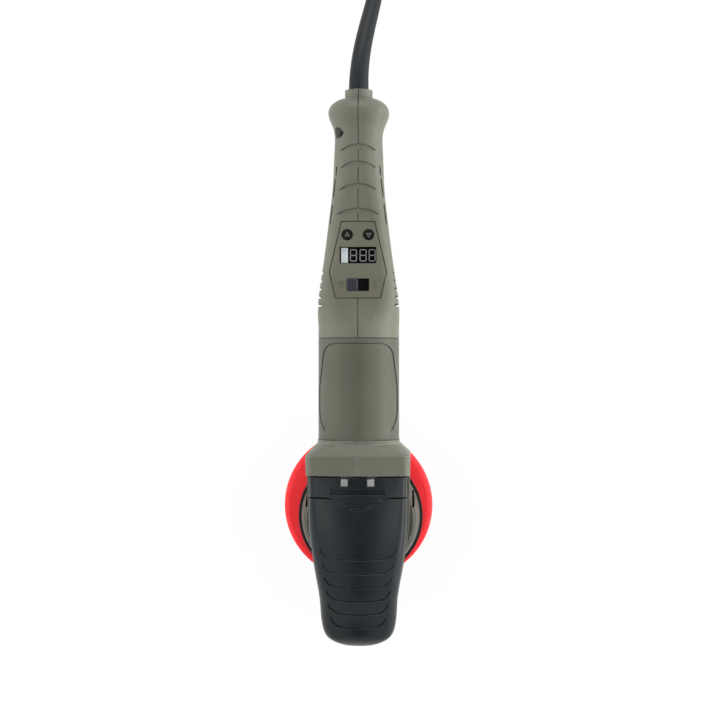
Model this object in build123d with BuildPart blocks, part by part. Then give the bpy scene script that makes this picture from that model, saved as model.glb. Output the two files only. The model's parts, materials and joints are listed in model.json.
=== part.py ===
from build123d import *
import os
from math import cos, hypot, pi, radians, sin, tan

# Random orbital polisher: a 125 mm plate on a 15 mm orbit, driven through a bevel gear by a motor
# that lies in line with the handle. Millimetres.
# Frame: X to the tool's right, Y from the spindle back to the cord, Z up. The origin is on the
# main spindle's axis, in the plane of the pad face.

os.makedirs("parts", exist_ok=True)

# Clearances
FIT = 0.02
BEARING_GAP = 0.3
SLIDE_GAP = 0.3
SEAM_GAP = 0.4
SEAM_DEPTH = 0.8
SCREW_GAP = 0.1

# Backing plate and pad face
PLATE_DIAMETER = 125.0
PLATE_RIM_HEIGHT = 6.0
PLATE_EDGE_RADIUS = 2.5
PLATE_BEVEL_WIDTH = 4.0
PLATE_BEVEL_HEIGHT = 1.2
PLATE_DISH = 2.0
PLATE_WEB = 5.8
HOOK_DIAMETER = 122.0
HOOK_THICKNESS = 2.2
HUB_DIAMETER = 54.0
HUB_THICKNESS = 5.0
HUB_BOSS_DIAMETER = 26.0
HUB_BOSS_HEIGHT = 3.5
STUD_DIAMETER = 8.0
STUD_HEAD_DIAMETER = 18.0
STUD_HEAD_THICKNESS = 2.0
STUD_LENGTH = 16.0
ORBIT_DIAMETER = 15.0
ORBIT_REST_ANGLE = 108.0

# Eccentric spindle and counterweight
PLATE_SPINDLE_WRENCH = 17.0
PLATE_SPINDLE_WRENCH_HEIGHT = 4.5
PLATE_SPINDLE_SHOULDER = 1.0
PLATE_BEARING_BORE = 12.0
PLATE_BEARING_DIAMETER = 28.0
PLATE_BEARING_WIDTH = 8.0
PLATE_BEARING_COUNT = 2
CUP_WALL = 3.5
CRANK_THICKNESS = 4.0
CRANK_DIAMETER = 52.0
CRANK_COLLAR_DIAMETER = 19.0
CRANK_COLLAR_HEIGHT = 2.5
COUNTERWEIGHT_INNER_RADIUS = 19.0
COUNTERWEIGHT_OUTER_RADIUS = 41.0
COUNTERWEIGHT_HEIGHT = 14.0
COUNTERWEIGHT_SPAN = 150.0
COUNTERWEIGHT_SCREW_DIAMETER = 4.0
COUNTERWEIGHT_SCREW_ANGLE = 38.0
SPINDLE_DIAMETER = 15.0
SPINDLE_TOP_DIAMETER = 12.0
SPINDLE_BEARING_DIAMETER = 35.0
SPINDLE_BEARING_WIDTH = 11.0
TOP_BUSH_WALL = 3.0
TOP_BUSH_LENGTH = 10.0

# Bevel gears
GEAR_MODULE = 1.5
PINION_TEETH = 12
GEAR_TEETH = 36
GEAR_FACE_WIDTH = 8.0
GEAR_RIM_HEIGHT = 11.0
GEAR_HUB_DIAMETER = 24.0
GEAR_HUB_SEAT_HEIGHT = 4.5
PINION_HUB_DIAMETER = 16.0
PINION_HUB_LENGTH = 23.5
PINION_BORE = 8.0
TOOTH_BACKLASH = 0.26

# Gear case and bearing flange
FLANGE_DIAMETER = 73.0
FLANGE_THICKNESS = 6.0
FLANGE_LIP = 1.0
FLANGE_BOSS_DIAMETER = 44.0
CASE_DIAMETER = 66.0
CASE_WALL = 4.2
CASE_ROOF_HEIGHT = 24.0
CASE_ROOF = 4.0
CASE_EDGE_RADIUS = 8.0
CASE_NECK_DIAMETER = 38.0
CASE_NECK_BORE = 23.0
CASE_REAR_FLANGE = 3.5
CASE_REAR_FLANGE_DIAMETER = 56.8
CASE_REAR_RECESS = 8.0
CASE_LUG_RADIUS = 5.5
RETAINER_THICKNESS = 2.5
RETAINER_DIAMETER = 41.0
FLANGE_SCREW_CIRCLE = 64.0
FLANGE_SCREW_DIAMETER = 5.0
FLANGE_SCREW_DEPTH = 12.0
SCREW_HEAD_HEIGHT = 3.0

# Motor
FRONT_BEARING_BORE = 12.0
FRONT_BEARING_DIAMETER = 28.0
FRONT_BEARING_WIDTH = 8.0
REAR_BEARING_BORE = 8.0
REAR_BEARING_DIAMETER = 22.0
REAR_BEARING_WIDTH = 7.0
MOTOR_DIAMETER = 64.0
MOTOR_WALL = 2.8
MOTOR_LENGTH = 80.1
MOTOR_FLANGE = 4.5
MOTOR_FLANGE_BORE = 44.0
MOTOR_SCREW_CIRCLE = 50.0
MOTOR_SCREW_DIAMETER = 4.0
MOTOR_EDGE_CHAMFER = 0.8
FAN_DIAMETER = 50.0
FAN_LENGTH = 7.5
FAN_BLADES = 11
FAN_SETBACK = 8.5
CORE_SETBACK = 21.0
CORE_LENGTH = 32.6
CORE_DIAMETER = 36.0
CORE_SLOTS = 12
AIR_GAP = 0.7
END_WINDING_LENGTH = 4.0
END_WINDING_DIAMETER = 32.0
FIELD_COIL_INNER_RADIUS = 20.8
FIELD_COIL_OUTER_RADIUS = 25.2
FIELD_COIL_START = 20.0
FIELD_COIL_BAR = 20.0
COMMUTATOR_GAP = 7.0
COMMUTATOR_DIAMETER = 22.0
COMMUTATOR_LENGTH = 12.0
BRUSH_WIDTH = 6.0
BRUSH_HEIGHT = 9.0
BRUSH_LENGTH = 14.0
BRUSH_HOLDER_WALL = 1.0
BRIDGE_THICKNESS = 4.0
BRIDGE_BOSS_LENGTH = 9.5
BRIDGE_BOSS_WALL = 3.0

# Motor housing outline, engraved in the top
OUTLINE_WIDTH = 0.7
OUTLINE_SETBACK = 4.6
OUTLINE_HALF_WIDTH = 26.0
OUTLINE_FULL_HALF_WIDTH = 30.4
OUTLINE_LENGTH = 68.0
OUTLINE_RADII = (30.0, 40.0, 10.0, 10.0, 40.0, 30.0)

# Head
HEAD_WALL = 3.2
SHOULDER_LENGTH = 11.5
SHOULDER_COLLAR = 2.6
SHOULDER_HALF_WIDTH = 32.6
SHOULDER_STEP = 0.5
SHOULDER_ROUNDING = 20.0
COVER_EDGE_Y = 40.3
COVER_SEAM = 1.2
COVER_EDGE_RISE = 13.0
COVER_SLOPE = 0.29
COVER_STEP = 0.5
BAND_SEAM = 1.2
BAND_SIDE_Y = 23.3
BAND_CENTRE_Y = 14.2
BAND_CURVE_HALF = 26.0
SLOT_HALF_LENGTH = 21.3
SLOT_WIDTH = 4.8
SLOT_Y = 27.8
SLOT_CORNER = 1.2
SLOT_DEPTH = 2.2
TAB_X = 10.2
TAB_WIDTH = 5.2
TAB_LENGTH = 6.1
TAB_SETBACK = 2.0
TAB_DEPTH = 5.0
TONGUE_DROP = 2.6
RIB_GROOVE_WIDTH = 1.2
RIB_COUNT = 6
RIB_FIRST_Y = -24.9
RIB_PITCH = 11.2
RIB_HALF_WIDTH = 29.4
RIB_TAPER = 1.5
RIB_TURN = 9.0
RIB_SAG = 0.9
RIB_RISE = 8.5
NOSE_DEPTH = 17.0
PARTING_WIDTH = 0.6
PARTING_DEPTH = 0.3
HEAD_OPENING_DIAMETER = 76.0

# Shroud
SHROUD_DIAMETER = 98.8
SHROUD_TOP_DIAMETER = 87.0
SHROUD_WALL = 2.4
SHROUD_PLATE = 3.0
SHROUD_SKIRT = 25.0
SHROUD_VENT_X = 42.4
SHROUD_VENT_Y = 15.6
SHROUD_VENT_WIDTH = 2.2
SHROUD_VENT_LENGTH = 12.4
LIP_OVERHANG = 2.3
LIP_HEIGHT = 6.5
LIP_DROP = 2.5

# Handle
HANDLE_WALL = 2.8
HANDLE_LENGTH = 188.4
HANDLE_SLEEVE = 3.4
PANEL_HALF_HEIGHT = 25.0
PANEL_CORNER = 11.0
GRIP_CORNER = 16.0
NECK_HALF_WIDTH = 19.1
BULB_HALF_WIDTH = 24.0
COLLAR_DIAMETER = 22.0
COLLAR_LENGTH = 9.0
SEAM_WIDTH = 0.8
GROOVE_DEPTH = 0.9
SIDE_DASH_X = 22.0
SIDE_DASH_SLOPE = 0.115
SIDE_DASH_WIDTH = 0.7
SIDE_DASHES = [(88.4, 104.4), (110.4, 124.4), (127.4, 134.4)]
LOUVRE_COUNT = 5
LOUVRE_PITCH = 6.3
LOUVRE_WIDTH = 2.1
LOUVRE_DROP = 18.0
LOUVRE_RISE = 19.0
LOUVRE_FIRST = 25.4
HANDLE_SCREW_DIAMETER = 4.0
HANDLE_SCREW_LENGTH = 20.0
HANDLE_SCREW_RECESS = 8.8
HANDLE_SCREW_BOSS = 11.4
HANDLE_SCREW_SEAT = 11.5
SCREW_DRIVE_WIDTH = 1.2
SCREW_DRIVE_SPAN = 5.0
SCREW_DRIVE_DEPTH = 1.6

# Control panel, its places measured along the handle from the seam with the motor housing
PANEL_THICKNESS = 1.6
PANEL_FRONT = 30.9
PANEL_WIDEST = 50.9
PANEL_REAR = 89.9
PANEL_FRONT_HALF = 17.1
PANEL_WIDEST_HALF = 21.9
PANEL_REAR_HALF = 12.6
PANEL_LEDGE = 1.4
PANEL_GAP = 0.6
BUTTON_STATION = 79.8
BUTTON_X = 8.3
BUTTON_DIAMETER = 8.2
BUTTON_FLANGE = 10.0
BUTTON_PROUD = 0.5
BUTTON_TRAVEL = 1.0
DISPLAY_STATION = 64.0
DISPLAY_LENGTH = 28.6
DISPLAY_WIDTH = 12.8
LENS_THICKNESS = 1.2
LENS_OVERLAP = 1.0
DISPLAY_HEIGHT = 6.6
SWITCH_STATION = 41.0
SWITCH_OPENING_WIDTH = 9.8
SWITCH_KNOB_LENGTH = 8.4
SWITCH_KNOB_PROUD = 0.6
SWITCH_BASE_THICKNESS = 1.4
SWITCH_TRAVEL = 8.0
SWITCH_END_GAP = 0.7
SWITCH_BODY_LENGTH = 28.0
SWITCH_BODY_WIDTH = 12.0
SWITCH_BODY_HEIGHT = 15.0
BOARD_THICKNESS = 1.6
BOARD_LENGTH = 38.0
BOARD_HALF_WIDTH = 15.5
BOARD_LEDGE = 3.0
TACT_SIZE = 6.0
TACT_HEIGHT = 4.3
CONTROLLER_LENGTH = 38.0
CONTROLLER_WIDTH = 24.0
CONTROLLER_HEIGHT = 20.0
CONTROLLER_STATION = 95.9

# Cord, clamp and boot
CORD_DIAMETER = 8.5
CLAMP_STATION = 141.4
CLAMP_WIDTH = 9.0
CLAMP_LENGTH = 27.0
CLAMP_THICKNESS = 7.0
CLAMP_SCREW_X = 9.6
CLAMP_SCREW_DIAMETER = 3.5
BOOT_DIAMETER = 15.8
BOOT_END_DIAMETER = 12.4
BOOT_FLANGE_DIAMETER = 20.0
BOOT_FLANGE_THICKNESS = 4.0
BOOT_BEND_RUN = 22.0
BOOT_CORNER = (0.0, 366.0)
BOOT_END = (12.5, 426.0, 55.0)
LEAD_FIRST_RUN = 29.0
LEAD_MIDDLE = [(23.5, 477.0, 26.0), (32.0, 497.0, 11.5)]
TAIL_MIDDLE = [(83.0, 630.0, 9.5), (72.0, 654.0, 5.2), (52.0, 673.0, 4.8), (27.0, 685.0, 5.6)]
ROUTE_END_RUN = 22.0
COIL_CENTRE = (-4.0, 588.0)
COIL_START_ANGLE = -35.0
COIL_INNER_RADIUS = 37.0
COIL_PITCH = 9.15
COIL_TURNS = 4.78
COIL_SPANS = 10
COIL_CLIMB_DIP = 1.5
TIE_THICKNESS = 0.8
TIE_WIDTH = 14.0
TIE_GAP = 0.3
PLUG_REAR = (-20.0, 690.0)
PLUG_HEIGHT = 18.0
PLUG_WIDTH = 35.0
PLUG_LENGTH = 44.0
PLUG_EDGE_RADIUS = 1.5
PLUG_PIN_DIAMETER = 4.8
PLUG_PIN_SPACING = 19.0
PLUG_PIN_LENGTH = 19.0
PLUG_PIN_ROOT_DIAMETER = 3.6
PLUG_PIN_ROOT = 8.0

# Heights that follow from the stack of pieces above the pad face
HUB_SEAT_Z = HOOK_THICKNESS + PLATE_WEB
HUB_TOP_Z = HUB_SEAT_Z + HUB_THICKNESS
BOSS_TOP_Z = HUB_TOP_Z + HUB_BOSS_HEIGHT
PLATE_BEARING_Z = BOSS_TOP_Z + PLATE_SPINDLE_WRENCH_HEIGHT + PLATE_SPINDLE_SHOULDER
CRANK_Z = PLATE_BEARING_Z + PLATE_BEARING_COUNT * PLATE_BEARING_WIDTH
CRANK_TOP_Z = CRANK_Z + CRANK_THICKNESS
SPINDLE_BEARING_Z = CRANK_TOP_Z + CRANK_COLLAR_HEIGHT
SPINDLE_BEARING_TOP_Z = SPINDLE_BEARING_Z + SPINDLE_BEARING_WIDTH
FLANGE_BOTTOM_Z = SPINDLE_BEARING_Z - FLANGE_LIP
FLANGE_TOP_Z = SPINDLE_BEARING_TOP_Z + BEARING_GAP
SHROUD_TOP_Z = FLANGE_TOP_Z - FLANGE_THICKNESS
GEAR_BACK_Z = SPINDLE_BEARING_TOP_Z + GEAR_HUB_SEAT_HEIGHT
PINION_PITCH_RADIUS = GEAR_MODULE * PINION_TEETH / 2
GEAR_PITCH_RADIUS = GEAR_MODULE * GEAR_TEETH / 2
MOTOR_AXIS_Z = GEAR_BACK_Z + GEAR_RIM_HEIGHT + PINION_PITCH_RADIUS
CASE_TOP_Z = MOTOR_AXIS_Z + CASE_ROOF_HEIGHT
SHROUD_BOTTOM_Z = SHROUD_TOP_Z - SHROUD_PLATE - SHROUD_SKIRT
MOTOR_TOP_Z = MOTOR_AXIS_Z + MOTOR_DIAMETER / 2
PANEL_TOP_Z = MOTOR_AXIS_Z + PANEL_HALF_HEIGHT

# Places along the motor's axis
FRONT_BEARING_Y = GEAR_PITCH_RADIUS + PINION_HUB_LENGTH + 0.5
FRONT_BEARING_REAR_Y = FRONT_BEARING_Y + FRONT_BEARING_WIDTH
CASE_REAR_Y = FRONT_BEARING_REAR_Y + CASE_REAR_RECESS
MOTOR_REAR_Y = CASE_REAR_Y + MOTOR_LENGTH
FAN_Y = CASE_REAR_Y + FAN_SETBACK
CORE_Y = CASE_REAR_Y + CORE_SETBACK
CORE_REAR_Y = CORE_Y + CORE_LENGTH
COMMUTATOR_Y = CORE_REAR_Y + COMMUTATOR_GAP
COMMUTATOR_REAR_Y = COMMUTATOR_Y + COMMUTATOR_LENGTH
BRUSH_Y = COMMUTATOR_Y + COMMUTATOR_LENGTH / 2
BRIDGE_Y = MOTOR_REAR_Y - BRIDGE_THICKNESS
REAR_BEARING_Y = BRIDGE_Y + 2.5
SHAFT_END_Y = REAR_BEARING_Y + REAR_BEARING_WIDTH + 1.0
HANDLE_REAR_Y = MOTOR_REAR_Y + HANDLE_LENGTH
COLLAR_REAR_Y = HANDLE_REAR_Y + COLLAR_LENGTH - 1.5

# Opening that the switch's knob slides in
SWITCH_OPENING_LENGTH = SLIDE_GAP + SWITCH_KNOB_LENGTH + SWITCH_TRAVEL + SWITCH_END_GAP

# Plate centre at rest, off the spindle's axis by half the orbit
ECCENTRICITY = ORBIT_DIAMETER / 2
PLATE_X = ECCENTRICITY * cos(radians(ORBIT_REST_ANGLE))
PLATE_Y = ECCENTRICITY * sin(radians(ORBIT_REST_ANGLE))


def across(y):
    """Plane across the tool at a place along Y, with its own X to the right and its own Y up."""
    return Plane(origin=(0, y, 0), x_dir=(1, 0, 0), z_dir=(0, -1, 0))


def motor_plane(y):
    """Plane across the motor's axis that extrudes towards the cord."""
    return Plane(origin=(0, y, MOTOR_AXIS_Z), x_dir=(1, 0, 0), z_dir=(0, 1, 0))


def along_motor(start, end, radius):
    """Cylinder on the motor's axis."""
    with BuildPart() as rod:
        with BuildSketch(motor_plane(start)):
            Circle(radius)
        extrude(amount=end - start)
    return rod.part


def upright(x, y, bottom, top, radius):
    """Cylinder that stands on the plane z = bottom."""
    with BuildPart() as post:
        with BuildSketch(Plane(origin=(x, y, bottom))):
            Circle(radius)
        extrude(amount=top - bottom)
    return post.part


def crosswise(start, end, y, z, radius):
    """Cylinder along X."""
    with BuildPart() as pin:
        with BuildSketch(Plane(origin=(start, y, z), x_dir=(0, 1, 0), z_dir=(1, 0, 0))):
            Circle(radius)
        extrude(amount=end - start)
    return pin.part


def block(x_range, y_range, z_range):
    """Box between three pairs of limits."""
    with BuildPart() as box:
        with BuildSketch(Plane(origin=(0, 0, z_range[0]))):
            with Locations(((x_range[0] + x_range[1]) / 2, (y_range[0] + y_range[1]) / 2)):
                Rectangle(x_range[1] - x_range[0], y_range[1] - y_range[0])
        extrude(amount=z_range[1] - z_range[0])
    return box.part


def turned(profile, x=0.0, y=0.0):
    """Solid of revolution about an upright axis, from (radius, z) points."""
    with BuildPart() as lathe:
        with BuildSketch(Plane(origin=(x, y, 0), x_dir=(1, 0, 0), z_dir=(0, -1, 0))):
            with BuildLine():
                Polyline(profile, close=True)
            make_face()
        revolve(axis=Axis((x, y, 0), (0, 0, 1)))
    return lathe.part


def turned_on_motor(profile):
    """Solid of revolution about the motor's axis, from (radius, y) points."""
    with BuildPart() as lathe:
        with BuildSketch(Plane.XY.offset(MOTOR_AXIS_Z)):
            with BuildLine():
                Polyline(profile, close=True)
            make_face()
        revolve(axis=Axis((0, 0, MOTOR_AXIS_Z), (0, 1, 0)))
    return lathe.part


def ring_profile(inner, outer, start, end):
    """Four corners of a ring's section."""
    return [(inner, start), (outer, start), (outer, end), (inner, end)]


def race_limits(bore, outside):
    """Radii between which a bearing's two rings leave their running gap."""
    inner_ring = bore / 2 + 0.22 * (outside - bore) / 2
    outer_ring = outside / 2 - 0.2 * (outside - bore) / 2
    return inner_ring, outer_ring


def outer_race_profile(bore, outside, start, width):
    """Outer ring with its two shields, as (radius, place) points."""
    inner_ring, outer_ring = race_limits(bore, outside)
    shield = inner_ring + BEARING_GAP
    shield_thickness = 0.8
    return [
        (shield, start),
        (outside / 2 - FIT, start),
        (outside / 2 - FIT, start + width),
        (shield, start + width),
        (shield, start + width - shield_thickness),
        (outer_ring, start + width - shield_thickness),
        (outer_ring, start + shield_thickness),
        (shield, start + shield_thickness),
    ]


def inner_race_profile(bore, outside, start, width):
    """Inner ring, as (radius, place) points."""
    inner_ring, _ = race_limits(bore, outside)
    return ring_profile(bore / 2 + FIT, inner_ring, start, start + width)


def sector(inner, outer, start, sweep):
    """Face between two radii and two angles, about the origin of the plane in use."""
    with BuildSketch() as face:
        with BuildLine():
            rim = CenterArc((0, 0), outer, start, sweep)
            bore = CenterArc((0, 0), inner, start, sweep)
            Line(rim @ 0, bore @ 0)
            Line(rim @ 1, bore @ 1)
        make_face()
    return face.sketch


def plan_prism(outline, bottom, top):
    """Upright prism from a closed outline of (x, y) points."""
    with BuildPart() as prism:
        with BuildSketch(Plane.XY.offset(bottom)):
            with BuildLine():
                Polyline(outline, close=True)
            make_face()
        extrude(amount=top - bottom)
    return prism.part


def handle_solid(inset):
    """Handle from the motor seam to the end of its bulb, drawn in by a wall's thickness."""
    motor_half = MOTOR_DIAMETER / 2
    sleeve_y = MOTOR_REAR_Y + HANDLE_SLEEVE
    bulb_y = HANDLE_REAR_Y - 10.5
    neck_y = HANDLE_REAR_Y - 38.5
    stations = [
        (sleeve_y, motor_half, motor_half, motor_half - 0.1),
        (MOTOR_REAR_Y + 13.4, motor_half + 0.1, motor_half - 2.4, motor_half - 5.5),
        (MOTOR_REAR_Y + 25.4, motor_half - 0.1, PANEL_HALF_HEIGHT + 1.5, PANEL_CORNER + 6.5),
        (MOTOR_REAR_Y + 39.4, motor_half - 1.8, PANEL_HALF_HEIGHT + 0.1, PANEL_CORNER + 1.0),
        (MOTOR_REAR_Y + 57.9, motor_half - 4.6, PANEL_HALF_HEIGHT, PANEL_CORNER),
        (MOTOR_REAR_Y + 89.9, motor_half - 8.7, PANEL_HALF_HEIGHT - 0.4, PANEL_CORNER + 0.5),
        (MOTOR_REAR_Y + 120.9, NECK_HALF_WIDTH + 1.1, PANEL_HALF_HEIGHT - 3.6, GRIP_CORNER - 1.5),
        (neck_y, NECK_HALF_WIDTH, PANEL_HALF_HEIGHT - 5.6, GRIP_CORNER),
        (HANDLE_REAR_Y - 22.5, NECK_HALF_WIDTH + 1.0, PANEL_HALF_HEIGHT - 5.2, GRIP_CORNER + 0.5),
        (bulb_y, BULB_HALF_WIDTH, PANEL_HALF_HEIGHT - 2.0, GRIP_CORNER + 3.5),
        (HANDLE_REAR_Y - 4.5 - inset, BULB_HALF_WIDTH - 2.3, PANEL_HALF_HEIGHT - 4.3, GRIP_CORNER + 2.5),
        (HANDLE_REAR_Y - inset, COLLAR_DIAMETER / 2 + 2.0, COLLAR_DIAMETER / 2 + 2.0, COLLAR_DIAMETER / 2),
    ]
    with BuildPart() as body:
        for y, half_width, half_height, corner in stations:
            with BuildSketch(motor_plane(y)):
                RectangleRounded(2 * (half_width - inset), 2 * (half_height - inset), corner - inset)
        loft()
        with BuildSketch(motor_plane(MOTOR_REAR_Y)):
            RectangleRounded(2 * (motor_half - inset), 2 * (motor_half - inset), motor_half - 0.1 - inset)
        extrude(amount=HANDLE_SLEEVE)
    return body.part


def head_face(half_width, top, bottom, crown, top_radius, bottom_radius):
    """Section of the head: upright sides, a crowned top and rounded corners."""
    draft = 0.015 * half_width
    with BuildSketch() as face:
        with BuildLine():
            sides = Polyline(
                (-half_width + draft, top - crown),
                (-half_width, bottom),
                (half_width, bottom),
                (half_width - draft, top - crown),
            )
            ThreePointArc(sides @ 1, (0, top), sides @ 0)
        make_face()
        fillet(face.vertices().group_by(Axis.Y)[-1], top_radius)
        fillet(face.vertices().group_by(Axis.Y)[0], bottom_radius)
    return face.sketch


def head_stations():
    """Sections of the head, rear to nose.

    Each gives its place, half width, top and bottom above the motor axis, crown, upper and lower
    corner radius, and the width of the ledge that the head shell leaves beside its covers.
    """
    top = MOTOR_DIAMETER / 2 + 4.4
    bottom = SHROUD_TOP_Z - MOTOR_AXIS_Z - 0.5
    shoulder_y = CASE_REAR_Y - SHOULDER_LENGTH
    stations = [
        (shoulder_y, 38.7, top - 0.3, bottom - 2.5, 2.5, 6.0, 3.0, 2.4),
        (46.0, 38.7, top - 0.1, bottom, 2.8, 6.3, 3.0, 2.4),
        (20.0, 38.5, top, bottom, 4.6, 7.5, 3.0, 2.2),
        (0.0, 38.4, top - 1.0, bottom, 6.0, 9.0, 3.0, 1.8),
        (-20.0, 36.6, top - 3.6, bottom + 0.6, 7.0, 10.5, 4.0, 1.4),
        (-38.0, 34.2, top - 7.6, bottom + 3.2, 7.4, 12.0, 6.0, 0.8),
        (-60.0, 31.0, top - 14.4, bottom + 7.7, 7.2, 12.5, 9.0, 0.4),
    ]
    nose_y, nose_half, nose_top, nose_bottom = -81.0, 29.2, top - 22.9, bottom + 12.2
    nose_centre = 0.4 * nose_top + 0.6 * nose_bottom
    for turn in (0.0, 30.0, 50.0, 67.0, 80.0):
        share = cos(radians(turn))
        stations.append(
            (
                nose_y - NOSE_DEPTH * sin(radians(turn)),
                nose_half * share**0.9,
                nose_centre + (nose_top - nose_centre) * share,
                nose_centre + (nose_bottom - nose_centre) * share,
                6.4 * share,
                11.0 * share,
                11.0 * share,
                0.4,
            )
        )
    return stations


def head_solid(inset, ledge):
    """Head from its shoulder to the nose, drawn in by a wall, with or without the shell's ledge."""
    least_height = 3 * inset + 3.0
    with BuildPart() as body:
        for y, half_width, top, bottom, crown, top_radius, bottom_radius, rim in head_stations():
            if top - bottom > least_height:
                with BuildSketch(across(y)):
                    add(
                        head_face(
                            half_width - inset + ledge * rim,
                            MOTOR_AXIS_Z + top - inset + ledge * COVER_STEP,
                            MOTOR_AXIS_Z + bottom + inset,
                            crown,
                            max(top_radius - inset, 0.4 * crown),
                            max(bottom_radius - inset, 0.4 * crown),
                        )
                    )
        loft()
    return body.part


def shoulder_solid(inset):
    """Chamfered shoulder between the motor housing and the head."""
    y, half_width, top, bottom, crown, top_radius, bottom_radius, rim = head_stations()[0]
    with BuildPart() as body:
        for collar_y in (CASE_REAR_Y, CASE_REAR_Y - SHOULDER_COLLAR):
            with BuildSketch(across(collar_y)):
                add(
                    head_face(
                        SHOULDER_HALF_WIDTH - inset,
                        MOTOR_TOP_Z + SHOULDER_STEP - inset,
                        MOTOR_AXIS_Z - MOTOR_DIAMETER / 2 - 1.5 + inset,
                        crown,
                        top_radius + SHOULDER_ROUNDING - inset,
                        bottom_radius + SHOULDER_ROUNDING - inset,
                    )
                )
        with BuildSketch(across(y)):
            add(
                head_face(
                    half_width + rim - inset,
                    MOTOR_AXIS_Z + top + COVER_STEP - inset,
                    MOTOR_AXIS_Z + bottom + inset,
                    crown,
                    max(top_radius - inset, 0.6),
                    max(bottom_radius - inset, 0.6),
                )
            )
        loft(ruled=True)
    return body.part


def cover_zone(rear_y):
    """Space above the sloping ledge and in front of a place, where the head's covers sit."""
    reach = 140.0
    edge_z = MOTOR_AXIS_Z + COVER_EDGE_RISE
    with BuildPart() as zone:
        with BuildSketch(Plane.YZ):
            with BuildLine():
                Polyline(
                    (rear_y, edge_z + COVER_SLOPE * (rear_y - COVER_EDGE_Y)),
                    (rear_y, edge_z + reach),
                    (rear_y - reach - COVER_EDGE_Y, edge_z + reach),
                    (rear_y - reach - COVER_EDGE_Y, edge_z - COVER_SLOPE * (reach + COVER_EDGE_Y)),
                    close=True,
                )
            make_face()
        extrude(amount=MOTOR_DIAMETER, both=True)
    return zone.part


def behind_band_seam(shift):
    """Upright prism behind the curved seam between the vent band and the front grip."""
    side_y = BAND_SIDE_Y + shift
    centre_y = BAND_CENTRE_Y + shift
    middle_y = (side_y + centre_y) / 2
    reach = MOTOR_DIAMETER
    with BuildPart() as prism:
        with BuildSketch():
            with BuildLine():
                left = Line((-reach, side_y), (-BAND_CURVE_HALF, side_y))
                fall = TangentArc(left @ 1, (-BAND_CURVE_HALF / 2, middle_y), tangent=left % 1)
                level = TangentArc(fall @ 1, (0, centre_y), tangent=fall % 1)
                rise = TangentArc(level @ 1, (BAND_CURVE_HALF / 2, middle_y), tangent=level % 1)
                flat = TangentArc(rise @ 1, (BAND_CURVE_HALF, side_y), tangent=rise % 1)
                Polyline(flat @ 1, (reach, side_y), (reach, 2 * reach), (-reach, 2 * reach), left @ 0)
            make_face()
        extrude(amount=3 * reach)
    return prism.part


def fillet_radii(points):
    """Largest smooth radius at each inner point of a cord's route."""
    radii = []
    for before, here, after in zip(points, points[1:], points[2:]):
        run_in = Vector(here) - Vector(before)
        run_out = Vector(after) - Vector(here)
        half_turn = radians(run_in.get_angle(run_out)) / 2
        radii.append(0.45 * min(run_in.length, run_out.length) / tan(half_turn))
    return radii


def cord_tube(points):
    """Round cord along straight runs and tangent arcs."""
    with BuildPart() as tube:
        with BuildLine() as route:
            FilletPolyline(*points, radius=fillet_radii(points))
        with BuildSketch(Plane(origin=route.line @ 0, z_dir=route.line % 0)):
            Circle(CORD_DIAMETER / 2)
        sweep()
    run = sum(edge.length for edge in route.line.edges())
    filled = tube.part.volume / (pi * CORD_DIAMETER**2 / 4 * run)
    print("cord run", round(run, 1), "mm, tube volume over section times length", round(filled, 4))
    print("bend radii", [round(radius, 1) for radius in fillet_radii(points)])
    return tube.part


# Backing plate: hook face, urethane plate, nylon hub and threaded stud, all on the plate's own axis
with BuildPart() as hook_face:
    add(turned(ring_profile(0, HOOK_DIAMETER / 2, 0, HOOK_THICKNESS), PLATE_X, PLATE_Y))
hook_face.part.label = "hook_face"

with BuildPart() as backing_plate:
    rim_top = HOOK_THICKNESS + PLATE_RIM_HEIGHT
    add(
        turned(
            [
                (0, HOOK_THICKNESS),
                (PLATE_DIAMETER / 2 - 1.0, HOOK_THICKNESS),
                (PLATE_DIAMETER / 2, HOOK_THICKNESS + 1.5),
                (PLATE_DIAMETER / 2, rim_top),
                (PLATE_DIAMETER / 2 - PLATE_BEVEL_WIDTH, rim_top + PLATE_BEVEL_HEIGHT),
                (HUB_DIAMETER / 2 + SLIDE_GAP, rim_top + PLATE_BEVEL_HEIGHT + PLATE_DISH),
                (HUB_DIAMETER / 2 + SLIDE_GAP, HUB_SEAT_Z),
                (0, HUB_SEAT_Z),
            ],
            PLATE_X,
            PLATE_Y,
        )
    )
    rim_edges = backing_plate.edges().filter_by(GeomType.CIRCLE).sort_by(SortBy.RADIUS)[-1:]
    fillet(rim_edges.sort_by(Axis.Z)[-1:], PLATE_EDGE_RADIUS)
backing_plate.part.label = "backing_plate"

stud_head_top = HUB_SEAT_Z + STUD_HEAD_THICKNESS
with BuildPart() as plate_hub:
    add(
        turned(
            [
                (STUD_HEAD_DIAMETER / 2 + FIT, HUB_SEAT_Z),
                (HUB_DIAMETER / 2, HUB_SEAT_Z),
                (HUB_DIAMETER / 2, HUB_TOP_Z - 1.0),
                (HUB_DIAMETER / 2 - 1.0, HUB_TOP_Z),
                (HUB_BOSS_DIAMETER / 2, HUB_TOP_Z),
                (HUB_BOSS_DIAMETER / 2, BOSS_TOP_Z),
                (STUD_DIAMETER / 2 + FIT, BOSS_TOP_Z),
                (STUD_DIAMETER / 2 + FIT, stud_head_top),
                (STUD_HEAD_DIAMETER / 2 + FIT, stud_head_top),
            ],
            PLATE_X,
            PLATE_Y,
        )
    )
plate_hub.part.label = "plate_hub"

with BuildPart() as plate_stud:
    add(upright(PLATE_X, PLATE_Y, HUB_SEAT_Z, stud_head_top, STUD_HEAD_DIAMETER / 2))
    add(upright(PLATE_X, PLATE_Y, stud_head_top, BOSS_TOP_Z + STUD_LENGTH, STUD_DIAMETER / 2))
plate_stud.part.label = "plate_stud"

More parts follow.
